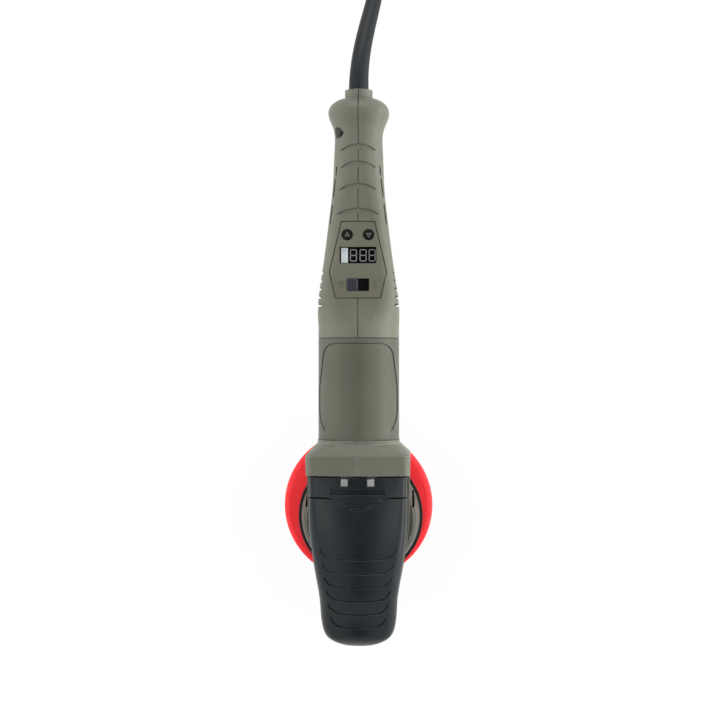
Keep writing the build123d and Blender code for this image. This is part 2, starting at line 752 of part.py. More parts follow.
# Plate spindle in its two bearings
with BuildPart() as plate_spindle:
    with BuildSketch(Plane(origin=(PLATE_X, PLATE_Y, BOSS_TOP_Z))):
        RegularPolygon(PLATE_SPINDLE_WRENCH / 2, 6, major_radius=False)
    extrude(amount=PLATE_SPINDLE_WRENCH_HEIGHT)
    wrench_top = BOSS_TOP_Z + PLATE_SPINDLE_WRENCH_HEIGHT
    add(upright(PLATE_X, PLATE_Y, wrench_top, PLATE_BEARING_Z, PLATE_BEARING_BORE / 2 + 1.5))
    add(upright(PLATE_X, PLATE_Y, PLATE_BEARING_Z, CRANK_Z - BEARING_GAP, PLATE_BEARING_BORE / 2))
    stud_bore_top = BOSS_TOP_Z + STUD_LENGTH + 1.0
    add(
        upright(PLATE_X, PLATE_Y, BOSS_TOP_Z, stud_bore_top, STUD_DIAMETER / 2 + FIT),
        mode=Mode.SUBTRACT,
    )
plate_spindle.part.label = "plate_spindle"

with BuildPart() as plate_bearing_outer:
    for row in range(PLATE_BEARING_COUNT):
        row_z = PLATE_BEARING_Z + row * PLATE_BEARING_WIDTH
        add(
            turned(
                outer_race_profile(
                    PLATE_BEARING_BORE, PLATE_BEARING_DIAMETER, row_z, PLATE_BEARING_WIDTH - FIT
                ),
                PLATE_X,
                PLATE_Y,
            )
        )
plate_bearing_outer.part.label = "plate_bearing_outer"

with BuildPart() as plate_bearing_inner:
    for row in range(PLATE_BEARING_COUNT):
        row_z = PLATE_BEARING_Z + row * PLATE_BEARING_WIDTH
        add(
            turned(
                inner_race_profile(
                    PLATE_BEARING_BORE, PLATE_BEARING_DIAMETER, row_z, PLATE_BEARING_WIDTH - BEARING_GAP
                ),
                PLATE_X,
                PLATE_Y,
            )
        )
plate_bearing_inner.part.label = "plate_bearing_inner"

# Eccentric spindle: a cup for the plate bearings, a crank disc and the upright shaft
cup_radius = PLATE_BEARING_DIAMETER / 2 + CUP_WALL
spindle_step_z = CASE_TOP_Z - CASE_ROOF - TOP_BUSH_LENGTH - 2.0
with BuildPart() as eccentric_spindle:
    add(upright(PLATE_X, PLATE_Y, PLATE_BEARING_Z, CRANK_Z, cup_radius))
    add(upright(0, 0, CRANK_Z, CRANK_TOP_Z, CRANK_DIAMETER / 2))
    add(upright(0, 0, CRANK_TOP_Z, SPINDLE_BEARING_Z, CRANK_COLLAR_DIAMETER / 2))
    add(upright(0, 0, SPINDLE_BEARING_Z, spindle_step_z, SPINDLE_DIAMETER / 2))
    add(upright(0, 0, spindle_step_z, CASE_TOP_Z - CASE_ROOF - 1.0, SPINDLE_TOP_DIAMETER / 2))
    add(
        upright(PLATE_X, PLATE_Y, PLATE_BEARING_Z, CRANK_Z, PLATE_BEARING_DIAMETER / 2),
        mode=Mode.SUBTRACT,
    )
    counterweight_screw_radius = (COUNTERWEIGHT_INNER_RADIUS + CRANK_DIAMETER / 2) / 2
    counterweight_screw_places = []
    for side in (-1, 1):
        screw_angle = radians(ORBIT_REST_ANGLE + 180.0 + side * COUNTERWEIGHT_SCREW_ANGLE)
        counterweight_screw_places.append(
            (counterweight_screw_radius * cos(screw_angle), counterweight_screw_radius * sin(screw_angle))
        )
    for x, y in counterweight_screw_places:
        hole = COUNTERWEIGHT_SCREW_DIAMETER / 2 + SCREW_GAP
        add(upright(x, y, CRANK_Z, CRANK_TOP_Z, hole), mode=Mode.SUBTRACT)
eccentric_spindle.part.label = "eccentric_spindle"

with BuildPart() as counterweight:
    with BuildSketch(Plane.XY.offset(CRANK_Z - COUNTERWEIGHT_HEIGHT)):
        add(
            sector(
                COUNTERWEIGHT_INNER_RADIUS,
                COUNTERWEIGHT_OUTER_RADIUS,
                ORBIT_REST_ANGLE + 180.0 - COUNTERWEIGHT_SPAN / 2,
                COUNTERWEIGHT_SPAN,
            )
        )
    extrude(amount=COUNTERWEIGHT_HEIGHT)
    for x, y in counterweight_screw_places:
        hole = COUNTERWEIGHT_SCREW_DIAMETER / 2 + SCREW_GAP
        add(
            upright(x, y, CRANK_Z - COUNTERWEIGHT_HEIGHT, CRANK_Z, hole),
            mode=Mode.SUBTRACT,
        )
    top_rim = counterweight.edges().filter_by(GeomType.CIRCLE).sort_by(SortBy.RADIUS)[-2:]
    chamfer(top_rim, 1.0)
counterweight.part.label = "counterweight"

with BuildPart() as counterweight_screws:
    for x, y in counterweight_screw_places:
        head_bottom = CRANK_Z - COUNTERWEIGHT_HEIGHT - SCREW_HEAD_HEIGHT
        add(upright(x, y, head_bottom, CRANK_Z - COUNTERWEIGHT_HEIGHT, COUNTERWEIGHT_SCREW_DIAMETER * 0.85))
        add(
            upright(
                x, y, CRANK_Z - COUNTERWEIGHT_HEIGHT, CRANK_TOP_Z - 0.5, COUNTERWEIGHT_SCREW_DIAMETER / 2
            )
        )
counterweight_screws.part.label = "counterweight_screws"

# Spindle bearing and the bush at the spindle's top
with BuildPart() as spindle_bearing_outer:
    add(
        turned(
            outer_race_profile(
                SPINDLE_DIAMETER, SPINDLE_BEARING_DIAMETER, SPINDLE_BEARING_Z, SPINDLE_BEARING_WIDTH
            )
        )
    )
spindle_bearing_outer.part.label = "spindle_bearing_outer"

with BuildPart() as spindle_bearing_inner:
    add(
        turned(
            inner_race_profile(
                SPINDLE_DIAMETER, SPINDLE_BEARING_DIAMETER, SPINDLE_BEARING_Z, SPINDLE_BEARING_WIDTH
            )
        )
    )
spindle_bearing_inner.part.label = "spindle_bearing_inner"

bush_outer_radius = SPINDLE_TOP_DIAMETER / 2 + TOP_BUSH_WALL
bush_bottom_z = CASE_TOP_Z - CASE_ROOF - TOP_BUSH_LENGTH
with BuildPart() as top_bush:
    add(
        turned(
            ring_profile(
                SPINDLE_TOP_DIAMETER / 2 + 2 * FIT,
                bush_outer_radius,
                bush_bottom_z,
                CASE_TOP_Z - CASE_ROOF,
            )
        )
    )
top_bush.part.label = "top_bush"

# Bevel gear pair, both coned to the crossing of the spindle's and the motor's axes
pitch_cone_length = hypot(PINION_PITCH_RADIUS, GEAR_PITCH_RADIUS)
inner_share = 1.0 - GEAR_FACE_WIDTH / pitch_cone_length
tooth_addendum = GEAR_MODULE
tooth_dedendum = 1.25 * GEAR_MODULE
tooth_half = pi * GEAR_MODULE / 4 - TOOTH_BACKLASH / 2


def cone_point(radius_share, axis_share, share, offset):
    """Radius and axial place of a point near the pitch cone, from the cone's apex."""
    return (
        share * (pitch_cone_length * radius_share + offset * axis_share),
        share * (pitch_cone_length * axis_share - offset * radius_share),
    )


def bevel_tooth(pitch_radius, mate_radius, root_half, tip_half):
    """One straight tooth, with its cone's apex at the origin and the gear's axis along Z."""
    radius_share = pitch_radius / pitch_cone_length
    axis_share = mate_radius / pitch_cone_length
    with BuildPart() as tooth:
        for share in (1.0, inner_share):
            reach = share * pitch_cone_length
            place = Plane(
                origin=(0, reach * radius_share, reach * axis_share),
                x_dir=(1, 0, 0),
                z_dir=(0, radius_share, axis_share),
            )
            with BuildSketch(place):
                with BuildLine():
                    Polyline(
                        (-root_half * share, -1.1 * tooth_dedendum * share),
                        (root_half * share, -1.1 * tooth_dedendum * share),
                        (tooth_half * share, 0),
                        (tip_half * share, tooth_addendum * share),
                        (-tip_half * share, tooth_addendum * share),
                        (-tooth_half * share, 0),
                        close=True,
                    )
                make_face()
        loft(ruled=True)
    return tooth.part


gear_cone = (GEAR_PITCH_RADIUS / pitch_cone_length, PINION_PITCH_RADIUS / pitch_cone_length)
gear_outer_root = cone_point(*gear_cone, 1.0, -tooth_dedendum)
gear_inner_root = cone_point(*gear_cone, inner_share, -tooth_dedendum)
gear_tooth = bevel_tooth(GEAR_PITCH_RADIUS, PINION_PITCH_RADIUS, 1.7, 0.42)
with BuildPart() as bevel_gear:
    with PolarLocations(0, GEAR_TEETH, start_angle=180.0 / GEAR_TEETH):
        add(gear_tooth)
    bevel_gear.part = bevel_gear.part.moved(
        Location((0, 0, MOTOR_AXIS_Z)) * Location((0, 0, 0), (180, 0, 0))
    )
    hub_bore = SPINDLE_DIAMETER / 2 + FIT
    add(
        turned(
            [
                (hub_bore, SPINDLE_BEARING_TOP_Z),
                (GEAR_HUB_DIAMETER / 2 - 1.5, SPINDLE_BEARING_TOP_Z),
                (GEAR_HUB_DIAMETER / 2 - 1.5, GEAR_BACK_Z),
                (gear_outer_root[0] - 2.0, GEAR_BACK_Z),
                (gear_outer_root[0], GEAR_BACK_Z + 2.0),
                (gear_outer_root[0], MOTOR_AXIS_Z - gear_outer_root[1]),
                (gear_inner_root[0], MOTOR_AXIS_Z - gear_inner_root[1]),
                (GEAR_HUB_DIAMETER / 2, MOTOR_AXIS_Z - gear_inner_root[1]),
                (GEAR_HUB_DIAMETER / 2, MOTOR_AXIS_Z - gear_inner_root[1] + 1.5),
                (hub_bore, MOTOR_AXIS_Z - gear_inner_root[1] + 1.5),
            ]
        )
    )
bevel_gear.part.label = "bevel_gear"

pinion_cone = (PINION_PITCH_RADIUS / pitch_cone_length, GEAR_PITCH_RADIUS / pitch_cone_length)
pinion_outer_root = cone_point(*pinion_cone, 1.0, -tooth_dedendum)
pinion_inner_root = cone_point(*pinion_cone, inner_share, -tooth_dedendum)
pinion_tooth = bevel_tooth(PINION_PITCH_RADIUS, GEAR_PITCH_RADIUS, 1.3, 0.42)
with BuildPart() as pinion:
    with PolarLocations(0, PINION_TEETH):
        add(pinion_tooth)
    pinion.part = pinion.part.moved(Location((0, 0, MOTOR_AXIS_Z)) * Location((0, 0, 0), (-90, 0, 0)))
    add(
        turned_on_motor(
            [
                (PINION_BORE / 2 + FIT, pinion_inner_root[1]),
                (pinion_inner_root[0], pinion_inner_root[1]),
                (pinion_outer_root[0], pinion_outer_root[1]),
                (PINION_HUB_DIAMETER / 2, pinion_outer_root[1] + 0.6),
                (PINION_HUB_DIAMETER / 2, FRONT_BEARING_Y),
                (PINION_BORE / 2 + FIT, FRONT_BEARING_Y),
            ]
        )
    )
pinion.part.label = "pinion"

# Bearing flange under the gear case
flange_screw_places = []
for quarter in range(4):
    screw_angle = radians(45.0 + 90.0 * quarter)
    flange_screw_places.append(
        (FLANGE_SCREW_CIRCLE / 2 * cos(screw_angle), FLANGE_SCREW_CIRCLE / 2 * sin(screw_angle))
    )
flange_hole_radius = FLANGE_SCREW_DIAMETER / 2 + SCREW_GAP
with BuildPart() as bearing_flange:
    seat_radius = SPINDLE_BEARING_DIAMETER / 2
    add(
        turned(
            [
                (CRANK_COLLAR_DIAMETER / 2 + 2.5, FLANGE_BOTTOM_Z),
                (FLANGE_BOSS_DIAMETER / 2, FLANGE_BOTTOM_Z),
                (FLANGE_BOSS_DIAMETER / 2, SHROUD_TOP_Z),
                (FLANGE_DIAMETER / 2, SHROUD_TOP_Z),
                (FLANGE_DIAMETER / 2, FLANGE_TOP_Z),
                (seat_radius, FLANGE_TOP_Z),
                (seat_radius, SPINDLE_BEARING_Z),
                (CRANK_COLLAR_DIAMETER / 2 + 2.5, SPINDLE_BEARING_Z),
            ]
        )
    )
    for x, y in flange_screw_places:
        add(upright(x, y, SHROUD_TOP_Z, FLANGE_TOP_Z, flange_hole_radius), mode=Mode.SUBTRACT)
bearing_flange.part.label = "bearing_flange"

# Gear case: round chamber over the gear and a neck for the pinion's bearing
motor_screw_places = []
for quarter in range(4):
    screw_angle = radians(45.0 + 90.0 * quarter)
    motor_screw_places.append(
        (MOTOR_SCREW_CIRCLE / 2 * cos(screw_angle), MOTOR_SCREW_CIRCLE / 2 * sin(screw_angle))
    )
chamber_radius = CASE_DIAMETER / 2 - CASE_WALL
with BuildPart() as gear_case:
    add(upright(0, 0, FLANGE_TOP_Z, CASE_TOP_Z, CASE_DIAMETER / 2))
    fillet(gear_case.faces().sort_by(Axis.Z)[-1].edges(), CASE_EDGE_RADIUS)
    add(along_motor(0, CASE_REAR_Y - CASE_REAR_FLANGE, CASE_NECK_DIAMETER / 2))
    add(along_motor(CASE_REAR_Y - CASE_REAR_FLANGE, CASE_REAR_Y, CASE_REAR_FLANGE_DIAMETER / 2))
    add(
        along_motor(FRONT_BEARING_REAR_Y - 2.0, CASE_REAR_Y - CASE_REAR_FLANGE, RETAINER_DIAMETER / 2 + 3.0)
    )
    for x, y in flange_screw_places:
        add(upright(x, y, FLANGE_TOP_Z, FLANGE_TOP_Z + FLANGE_SCREW_DEPTH + 2.0, CASE_LUG_RADIUS))
    with BuildPart(mode=Mode.PRIVATE) as chamber:
        add(upright(0, 0, FLANGE_TOP_Z, CASE_TOP_Z - CASE_ROOF, chamber_radius))
        add(
            upright(0, 0, bush_bottom_z, CASE_TOP_Z - CASE_ROOF, bush_outer_radius + 3.0),
            mode=Mode.SUBTRACT,
        )
    add(chamber.part, mode=Mode.SUBTRACT)
    add(upright(0, 0, bush_bottom_z, CASE_TOP_Z - CASE_ROOF, bush_outer_radius), mode=Mode.SUBTRACT)
    add(along_motor(chamber_radius - 8.0, FRONT_BEARING_Y, CASE_NECK_BORE / 2), mode=Mode.SUBTRACT)
    add(
        along_motor(FRONT_BEARING_Y, FRONT_BEARING_REAR_Y, FRONT_BEARING_DIAMETER / 2),
        mode=Mode.SUBTRACT,
    )
    add(along_motor(FRONT_BEARING_REAR_Y, CASE_REAR_Y, RETAINER_DIAMETER / 2 + FIT), mode=Mode.SUBTRACT)
    for x, y in flange_screw_places:
        add(
            upright(x, y, FLANGE_TOP_Z, FLANGE_TOP_Z + FLANGE_SCREW_DEPTH + 1.0, flange_hole_radius),
            mode=Mode.SUBTRACT,
        )
    with BuildSketch(motor_plane(CASE_REAR_Y)):
        with Locations(*motor_screw_places):
            Circle(MOTOR_SCREW_DIAMETER / 2 + SCREW_GAP)
    extrude(amount=-CASE_REAR_FLANGE, mode=Mode.SUBTRACT)
gear_case.part.label = "gear_case"

with BuildPart() as bearing_retainer:
    add(
        turned_on_motor(
            ring_profile(
                FRONT_BEARING_DIAMETER / 2 - 2.5,
                RETAINER_DIAMETER / 2,
                FRONT_BEARING_REAR_Y,
                FRONT_BEARING_REAR_Y + RETAINER_THICKNESS,
            )
        )
    )
bearing_retainer.part.label = "bearing_retainer"

# Front and rear motor bearings
motor_bearings = [
    (FRONT_BEARING_BORE, FRONT_BEARING_DIAMETER, FRONT_BEARING_Y, FRONT_BEARING_WIDTH),
    (REAR_BEARING_BORE, REAR_BEARING_DIAMETER, REAR_BEARING_Y, REAR_BEARING_WIDTH),
]
with BuildPart() as motor_bearings_outer:
    for bearing in motor_bearings:
        add(turned_on_motor(outer_race_profile(*bearing)))
motor_bearings_outer.part.label = "motor_bearings_outer"

with BuildPart() as motor_bearings_inner:
    for bearing in motor_bearings:
        add(turned_on_motor(inner_race_profile(*bearing)))
motor_bearings_inner.part.label = "motor_bearings_inner"

# Armature
shaft_radius = FRONT_BEARING_BORE / 2
with BuildPart() as armature_shaft:
    add(along_motor(pinion_inner_root[1], FRONT_BEARING_Y, PINION_BORE / 2))
    add(along_motor(FRONT_BEARING_Y, COMMUTATOR_REAR_Y + 1.0, shaft_radius))
    add(along_motor(COMMUTATOR_REAR_Y + 1.0, SHAFT_END_Y, REAR_BEARING_BORE / 2))
armature_shaft.part.label = "armature_shaft"

with BuildPart() as armature_core:
    with BuildSketch(motor_plane(CORE_Y)):
        Circle(CORE_DIAMETER / 2)
        Circle(shaft_radius + FIT, mode=Mode.SUBTRACT)
        with PolarLocations(CORE_DIAMETER / 2 - 2.5, CORE_SLOTS):
            Rectangle(6.0, 2.0, mode=Mode.SUBTRACT)
    extrude(amount=CORE_LENGTH)
armature_core.part.label = "armature_core"

with BuildPart() as armature_windings:
    for start in (CORE_Y - END_WINDING_LENGTH, CORE_REAR_Y):
        add(
            turned_on_motor(
                ring_profile(
                    shaft_radius + FIT, END_WINDING_DIAMETER / 2, start, start + END_WINDING_LENGTH
                )
            )
        )
    winding_edges = armature_windings.edges().filter_by(GeomType.CIRCLE).sort_by(SortBy.RADIUS)[-4:]
    fillet(winding_edges, END_WINDING_LENGTH * 0.4)
armature_windings.part.label = "armature_windings"

with BuildPart() as commutator:
    with BuildSketch(motor_plane(COMMUTATOR_Y)):
        Circle(COMMUTATOR_DIAMETER / 2)
        Circle(shaft_radius + FIT, mode=Mode.SUBTRACT)
        with PolarLocations(COMMUTATOR_DIAMETER / 2, 2 * CORE_SLOTS):
            Rectangle(1.6, 0.5, mode=Mode.SUBTRACT)
    extrude(amount=COMMUTATOR_LENGTH)
commutator.part.label = "commutator"

fan_disc = 1.5
with BuildPart() as cooling_fan:
    with BuildSketch(motor_plane(FAN_Y)):
        Circle(FAN_DIAMETER / 2)
        Circle(shaft_radius + FIT, mode=Mode.SUBTRACT)
    extrude(amount=fan_disc)
    with BuildSketch(motor_plane(FAN_Y)):
        Circle(shaft_radius + 3.0)
        Circle(shaft_radius + FIT, mode=Mode.SUBTRACT)
        with PolarLocations(FAN_DIAMETER / 4 + 4.0, FAN_BLADES):
            Rectangle(FAN_DIAMETER / 2 - 9.0, 1.4, rotation=28)
    extrude(amount=FAN_LENGTH)
    add(along_motor(FAN_Y, FAN_Y + FAN_LENGTH, FAN_DIAMETER / 2), mode=Mode.INTERSECT)
    add(along_motor(FAN_Y, FAN_Y + FAN_LENGTH, shaft_radius + FIT), mode=Mode.SUBTRACT)
cooling_fan.part.label = "cooling_fan"

# Field core, coils, bridge and brushes
motor_bore = MOTOR_DIAMETER / 2 - MOTOR_WALL
field_bore = CORE_DIAMETER / 2 + AIR_GAP
coil_starts = (
    FIELD_COIL_START,
    180.0 - FIELD_COIL_START - FIELD_COIL_BAR,
    180.0 + FIELD_COIL_START,
    360.0 - FIELD_COIL_START - FIELD_COIL_BAR,
)
with BuildPart() as field_core:
    with BuildSketch(motor_plane(CORE_Y)):
        Circle(motor_bore - FIT)
        Circle(field_bore, mode=Mode.SUBTRACT)
        for start in coil_starts:
            add(
                sector(
                    FIELD_COIL_INNER_RADIUS - SCREW_GAP,
                    FIELD_COIL_OUTER_RADIUS + SCREW_GAP,
                    start - 0.5,
                    FIELD_COIL_BAR + 1.0,
                ),
                mode=Mode.SUBTRACT,
            )
    extrude(amount=CORE_LENGTH)
field_core.part.label = "field_core"

with BuildPart() as field_coils:
    for half in (0, 2):
        coil_length = CORE_LENGTH + 2 * END_WINDING_LENGTH
        with BuildSketch(motor_plane(CORE_Y - END_WINDING_LENGTH)):
            for start in coil_starts[half:half + 2]:
                add(sector(FIELD_COIL_INNER_RADIUS, FIELD_COIL_OUTER_RADIUS, start, FIELD_COIL_BAR))
        extrude(amount=coil_length)
        span = 180.0 - 2 * FIELD_COIL_START
        for start in (CORE_Y - END_WINDING_LENGTH, CORE_REAR_Y + SCREW_GAP):
            with BuildSketch(motor_plane(start)):
                add(sector(FIELD_COIL_INNER_RADIUS, FIELD_COIL_OUTER_RADIUS, coil_starts[half], span))
            extrude(amount=END_WINDING_LENGTH - SCREW_GAP)
field_coils.part.label = "field_coils"

bridge_boss_radius = REAR_BEARING_DIAMETER / 2 + BRIDGE_BOSS_WALL
holder_depth = BRUSH_WIDTH + 2 * BRUSH_HOLDER_WALL
holder_start = COMMUTATOR_DIAMETER / 2 + 1.5
holder_end = motor_bore - 2.0
with BuildPart() as bearing_bridge:
    add(along_motor(BRIDGE_Y, MOTOR_REAR_Y, motor_bore - FIT))
    add(along_motor(BRIDGE_Y, BRIDGE_Y + BRIDGE_BOSS_LENGTH + 1.0, bridge_boss_radius))
    with BuildSketch(motor_plane(BRIDGE_Y)):
        for start in (20.0, 110.0, 200.0, 290.0):
            add(sector(bridge_boss_radius + 2.0, motor_bore - 4.0, start, 50.0))
    extrude(amount=BRIDGE_THICKNESS, mode=Mode.SUBTRACT)
    for side in (-1, 1):
        pillar_x = sorted((side * (holder_start + 2.0), side * (holder_end - 2.0)))
        add(
            block(
                pillar_x,
                (BRUSH_Y + holder_depth / 2, BRIDGE_Y + 1.0),
                (MOTOR_AXIS_Z - 3.0, MOTOR_AXIS_Z + 3.0),
            )
        )
    add(
        along_motor(REAR_BEARING_Y, BRIDGE_Y + BRIDGE_BOSS_LENGTH + 1.0, REAR_BEARING_DIAMETER / 2),
        mode=Mode.SUBTRACT,
    )
    add(along_motor(BRIDGE_Y - 8.0, REAR_BEARING_Y, REAR_BEARING_BORE / 2 + 2.0), mode=Mode.SUBTRACT)
bearing_bridge.part.label = "bearing_bridge"

holder_half_height = BRUSH_HEIGHT / 2 + BRUSH_HOLDER_WALL
with BuildPart() as brush_holders:
    for side in (-1, 1):
        add(
            block(
                sorted((side * holder_start, side * holder_end)),
                (BRUSH_Y - holder_depth / 2, BRUSH_Y + holder_depth / 2),
                (MOTOR_AXIS_Z - holder_half_height, MOTOR_AXIS_Z + holder_half_height),
            )
        )
        add(
            block(
                sorted((side * holder_start, side * (holder_end - 1.0))),
                (BRUSH_Y - BRUSH_WIDTH / 2 - FIT, BRUSH_Y + BRUSH_WIDTH / 2 + FIT),
                (MOTOR_AXIS_Z - BRUSH_HEIGHT / 2 - FIT, MOTOR_AXIS_Z + BRUSH_HEIGHT / 2 + FIT),
            ),
            mode=Mode.SUBTRACT,
        )
brush_holders.part.label = "brush_holders"

brush_start = COMMUTATOR_DIAMETER / 2 + 0.15
with BuildPart() as carbon_brushes:
    for side in (-1, 1):
        add(
            block(
                sorted((side * brush_start, side * (brush_start + BRUSH_LENGTH))),
                (BRUSH_Y - BRUSH_WIDTH / 2, BRUSH_Y + BRUSH_WIDTH / 2),
                (MOTOR_AXIS_Z - BRUSH_HEIGHT / 2, MOTOR_AXIS_Z + BRUSH_HEIGHT / 2),
            )
        )
carbon_brushes.part.label = "carbon_brushes"

# Motor housing with its engraved outline
engraving_rear = MOTOR_REAR_Y - OUTLINE_SETBACK
engraving_front = engraving_rear - OUTLINE_LENGTH
engraving_points = [
    (-OUTLINE_FULL_HALF_WIDTH + 4.5, engraving_front),
    (-OUTLINE_FULL_HALF_WIDTH, engraving_front + 8.0),
    (-OUTLINE_FULL_HALF_WIDTH, engraving_front + OUTLINE_LENGTH / 2),
    (-OUTLINE_HALF_WIDTH, engraving_rear),
    (OUTLINE_HALF_WIDTH, engraving_rear),
    (OUTLINE_FULL_HALF_WIDTH, engraving_front + OUTLINE_LENGTH / 2),
    (OUTLINE_FULL_HALF_WIDTH, engraving_front + 8.0),
    (OUTLINE_FULL_HALF_WIDTH - 4.5, engraving_front),
]
with BuildPart() as engraving:
    with BuildSketch(Plane.XY.offset(MOTOR_AXIS_Z)):
        with BuildLine():
            FilletPolyline(*engraving_points, radius=OUTLINE_RADII)
        trace(line_width=OUTLINE_WIDTH)
    extrude(amount=MOTOR_DIAMETER)
    add(along_motor(CASE_REAR_Y, MOTOR_REAR_Y, MOTOR_DIAMETER / 2 - SEAM_DEPTH), mode=Mode.SUBTRACT)

with BuildPart() as motor_housing:
    add(along_motor(CASE_REAR_Y, MOTOR_REAR_Y, MOTOR_DIAMETER / 2))
    chamfer(motor_housing.faces().sort_by(Axis.Y)[-1].edges(), MOTOR_EDGE_CHAMFER)
    add(along_motor(CASE_REAR_Y, MOTOR_REAR_Y, MOTOR_FLANGE_BORE / 2), mode=Mode.SUBTRACT)
    add(along_motor(CASE_REAR_Y + MOTOR_FLANGE, MOTOR_REAR_Y, motor_bore), mode=Mode.SUBTRACT)
    add(engraving.part, mode=Mode.SUBTRACT)
    with BuildSketch(motor_plane(CASE_REAR_Y)):
        with Locations(*motor_screw_places):
            Circle(MOTOR_SCREW_DIAMETER / 2 + SCREW_GAP)
    extrude(amount=MOTOR_FLANGE, mode=Mode.SUBTRACT)
motor_housing.part.label = "motor_housing"

# Shroud, its rubber lip, and the screws that hold shroud, bearing flange and motor to the gear case
shroud_plate_z = SHROUD_TOP_Z - SHROUD_PLATE
skirt_radius = SHROUD_DIAMETER / 2
crown_radius = SHROUD_TOP_DIAMETER / 2
skirt_break_z = SHROUD_BOTTOM_Z + 4.0
with BuildPart() as shroud:
    add(
        turned(
            [
                (FLANGE_BOSS_DIAMETER / 2 + SLIDE_GAP, shroud_plate_z),
                (crown_radius - 1.5, shroud_plate_z),
                (crown_radius + 0.2, shroud_plate_z - 1.5),
                (skirt_radius - SHROUD_WALL, skirt_break_z),
                (skirt_radius - SHROUD_WALL, SHROUD_BOTTOM_Z),
                (skirt_radius, SHROUD_BOTTOM_Z),
                (skirt_radius, skirt_break_z),
                (crown_radius + 2.4, shroud_plate_z),
                (crown_radius, SHROUD_TOP_Z),
                (FLANGE_BOSS_DIAMETER / 2 + SLIDE_GAP, SHROUD_TOP_Z),
            ]
        )
    )
    for side in (-1, 1):
        vent_x = sorted((side * SHROUD_VENT_X, side * (SHROUD_VENT_X + SHROUD_VENT_WIDTH)))
        vent_y = (SHROUD_VENT_Y - SHROUD_VENT_LENGTH / 2, SHROUD_VENT_Y + SHROUD_VENT_LENGTH / 2)
        add(block(vent_x, vent_y, (skirt_break_z + 4.0, SHROUD_TOP_Z)), mode=Mode.SUBTRACT)
    for x, y in flange_screw_places:
        add(upright(x, y, shroud_plate_z, SHROUD_TOP_Z, flange_hole_radius), mode=Mode.SUBTRACT)
shroud.part.label = "shroud"

lip_bottom_z = SHROUD_BOTTOM_Z - LIP_DROP
with BuildPart() as shroud_lip:
    add(
        turned(
            [
                (skirt_radius - SHROUD_WALL - 1.2, lip_bottom_z),
                (skirt_radius + LIP_OVERHANG - 0.8, lip_bottom_z),
                (skirt_radius + LIP_OVERHANG, lip_bottom_z + 0.8),
                (skirt_radius + LIP_OVERHANG, lip_bottom_z + LIP_HEIGHT - 0.8),
                (skirt_radius + LIP_OVERHANG - 0.8, lip_bottom_z + LIP_HEIGHT),
                (skirt_radius + FIT, lip_bottom_z + LIP_HEIGHT),
                (skirt_radius + FIT, SHROUD_BOTTOM_Z),
                (skirt_radius - SHROUD_WALL - FIT, SHROUD_BOTTOM_Z),
                (skirt_radius - SHROUD_WALL - FIT, lip_bottom_z + LIP_HEIGHT - 1.0),
                (skirt_radius - SHROUD_WALL - 1.2, lip_bottom_z + LIP_HEIGHT - 1.0),
            ]
        )
    )
shroud_lip.part.label = "shroud_lip"

with BuildPart() as case_screws:
    for x, y in flange_screw_places:
        add(upright(x, y, shroud_plate_z - SCREW_HEAD_HEIGHT, shroud_plate_z, FLANGE_SCREW_DIAMETER * 0.8))
        add(upright(x, y, shroud_plate_z, FLANGE_TOP_Z + FLANGE_SCREW_DEPTH, FLANGE_SCREW_DIAMETER / 2))
    with BuildSketch(motor_plane(CASE_REAR_Y - CASE_REAR_FLANGE)):
        with Locations(*motor_screw_places):
            Circle(MOTOR_SCREW_DIAMETER / 2)
    extrude(amount=CASE_REAR_FLANGE + MOTOR_FLANGE)
    with BuildSketch(motor_plane(CASE_REAR_Y + MOTOR_FLANGE)):
        with Locations(*motor_screw_places):
            Circle(MOTOR_SCREW_DIAMETER * 0.85)
    extrude(amount=SCREW_HEAD_HEIGHT)
case_screws.part.label = "case_screws"

# Head shell, vent band, tabs and front grip
with BuildPart() as head_cavity:
    add(head_solid(HEAD_WALL, 0))
    add(shoulder_solid(HEAD_WALL))

with BuildPart() as parting_groove:
    add(
        block(
            (-PARTING_WIDTH / 2, PARTING_WIDTH / 2),
            (COVER_EDGE_Y - 1.0, CASE_REAR_Y + 1.0),
            (MOTOR_AXIS_Z, MOTOR_AXIS_Z + MOTOR_DIAMETER),
        )
    )
    add(head_solid(PARTING_DEPTH, 1), mode=Mode.SUBTRACT)
    add(shoulder_solid(PARTING_DEPTH), mode=Mode.SUBTRACT)

with BuildPart() as head_shell:
    add(head_solid(0, 1))
    add(shoulder_solid(0))
    add(cover_zone(COVER_EDGE_Y), mode=Mode.SUBTRACT)
    add(parting_groove.part, mode=Mode.SUBTRACT)
    add(head_cavity.part, mode=Mode.SUBTRACT)
    add(
        upright(0, 0, SHROUD_BOTTOM_Z, FLANGE_TOP_Z + 12.0, HEAD_OPENING_DIAMETER / 2),
        mode=Mode.SUBTRACT,
    )
    add(upright(0, 0, SHROUD_BOTTOM_Z, SHROUD_TOP_Z, skirt_radius), mode=Mode.SUBTRACT)
head_shell.part.label = "head_shell"

head_outer = head_solid(0, 0)
with BuildPart() as slot_pocket:
    with BuildSketch(Plane.XY.offset(MOTOR_AXIS_Z)):
        with Locations((0, SLOT_Y)):
            RectangleRounded(2 * SLOT_HALF_LENGTH, SLOT_WIDTH, SLOT_CORNER)
    extrude(amount=MOTOR_DIAMETER)
    add(head_outer.moved(Location((0, 0, -SLOT_DEPTH))), mode=Mode.SUBTRACT)

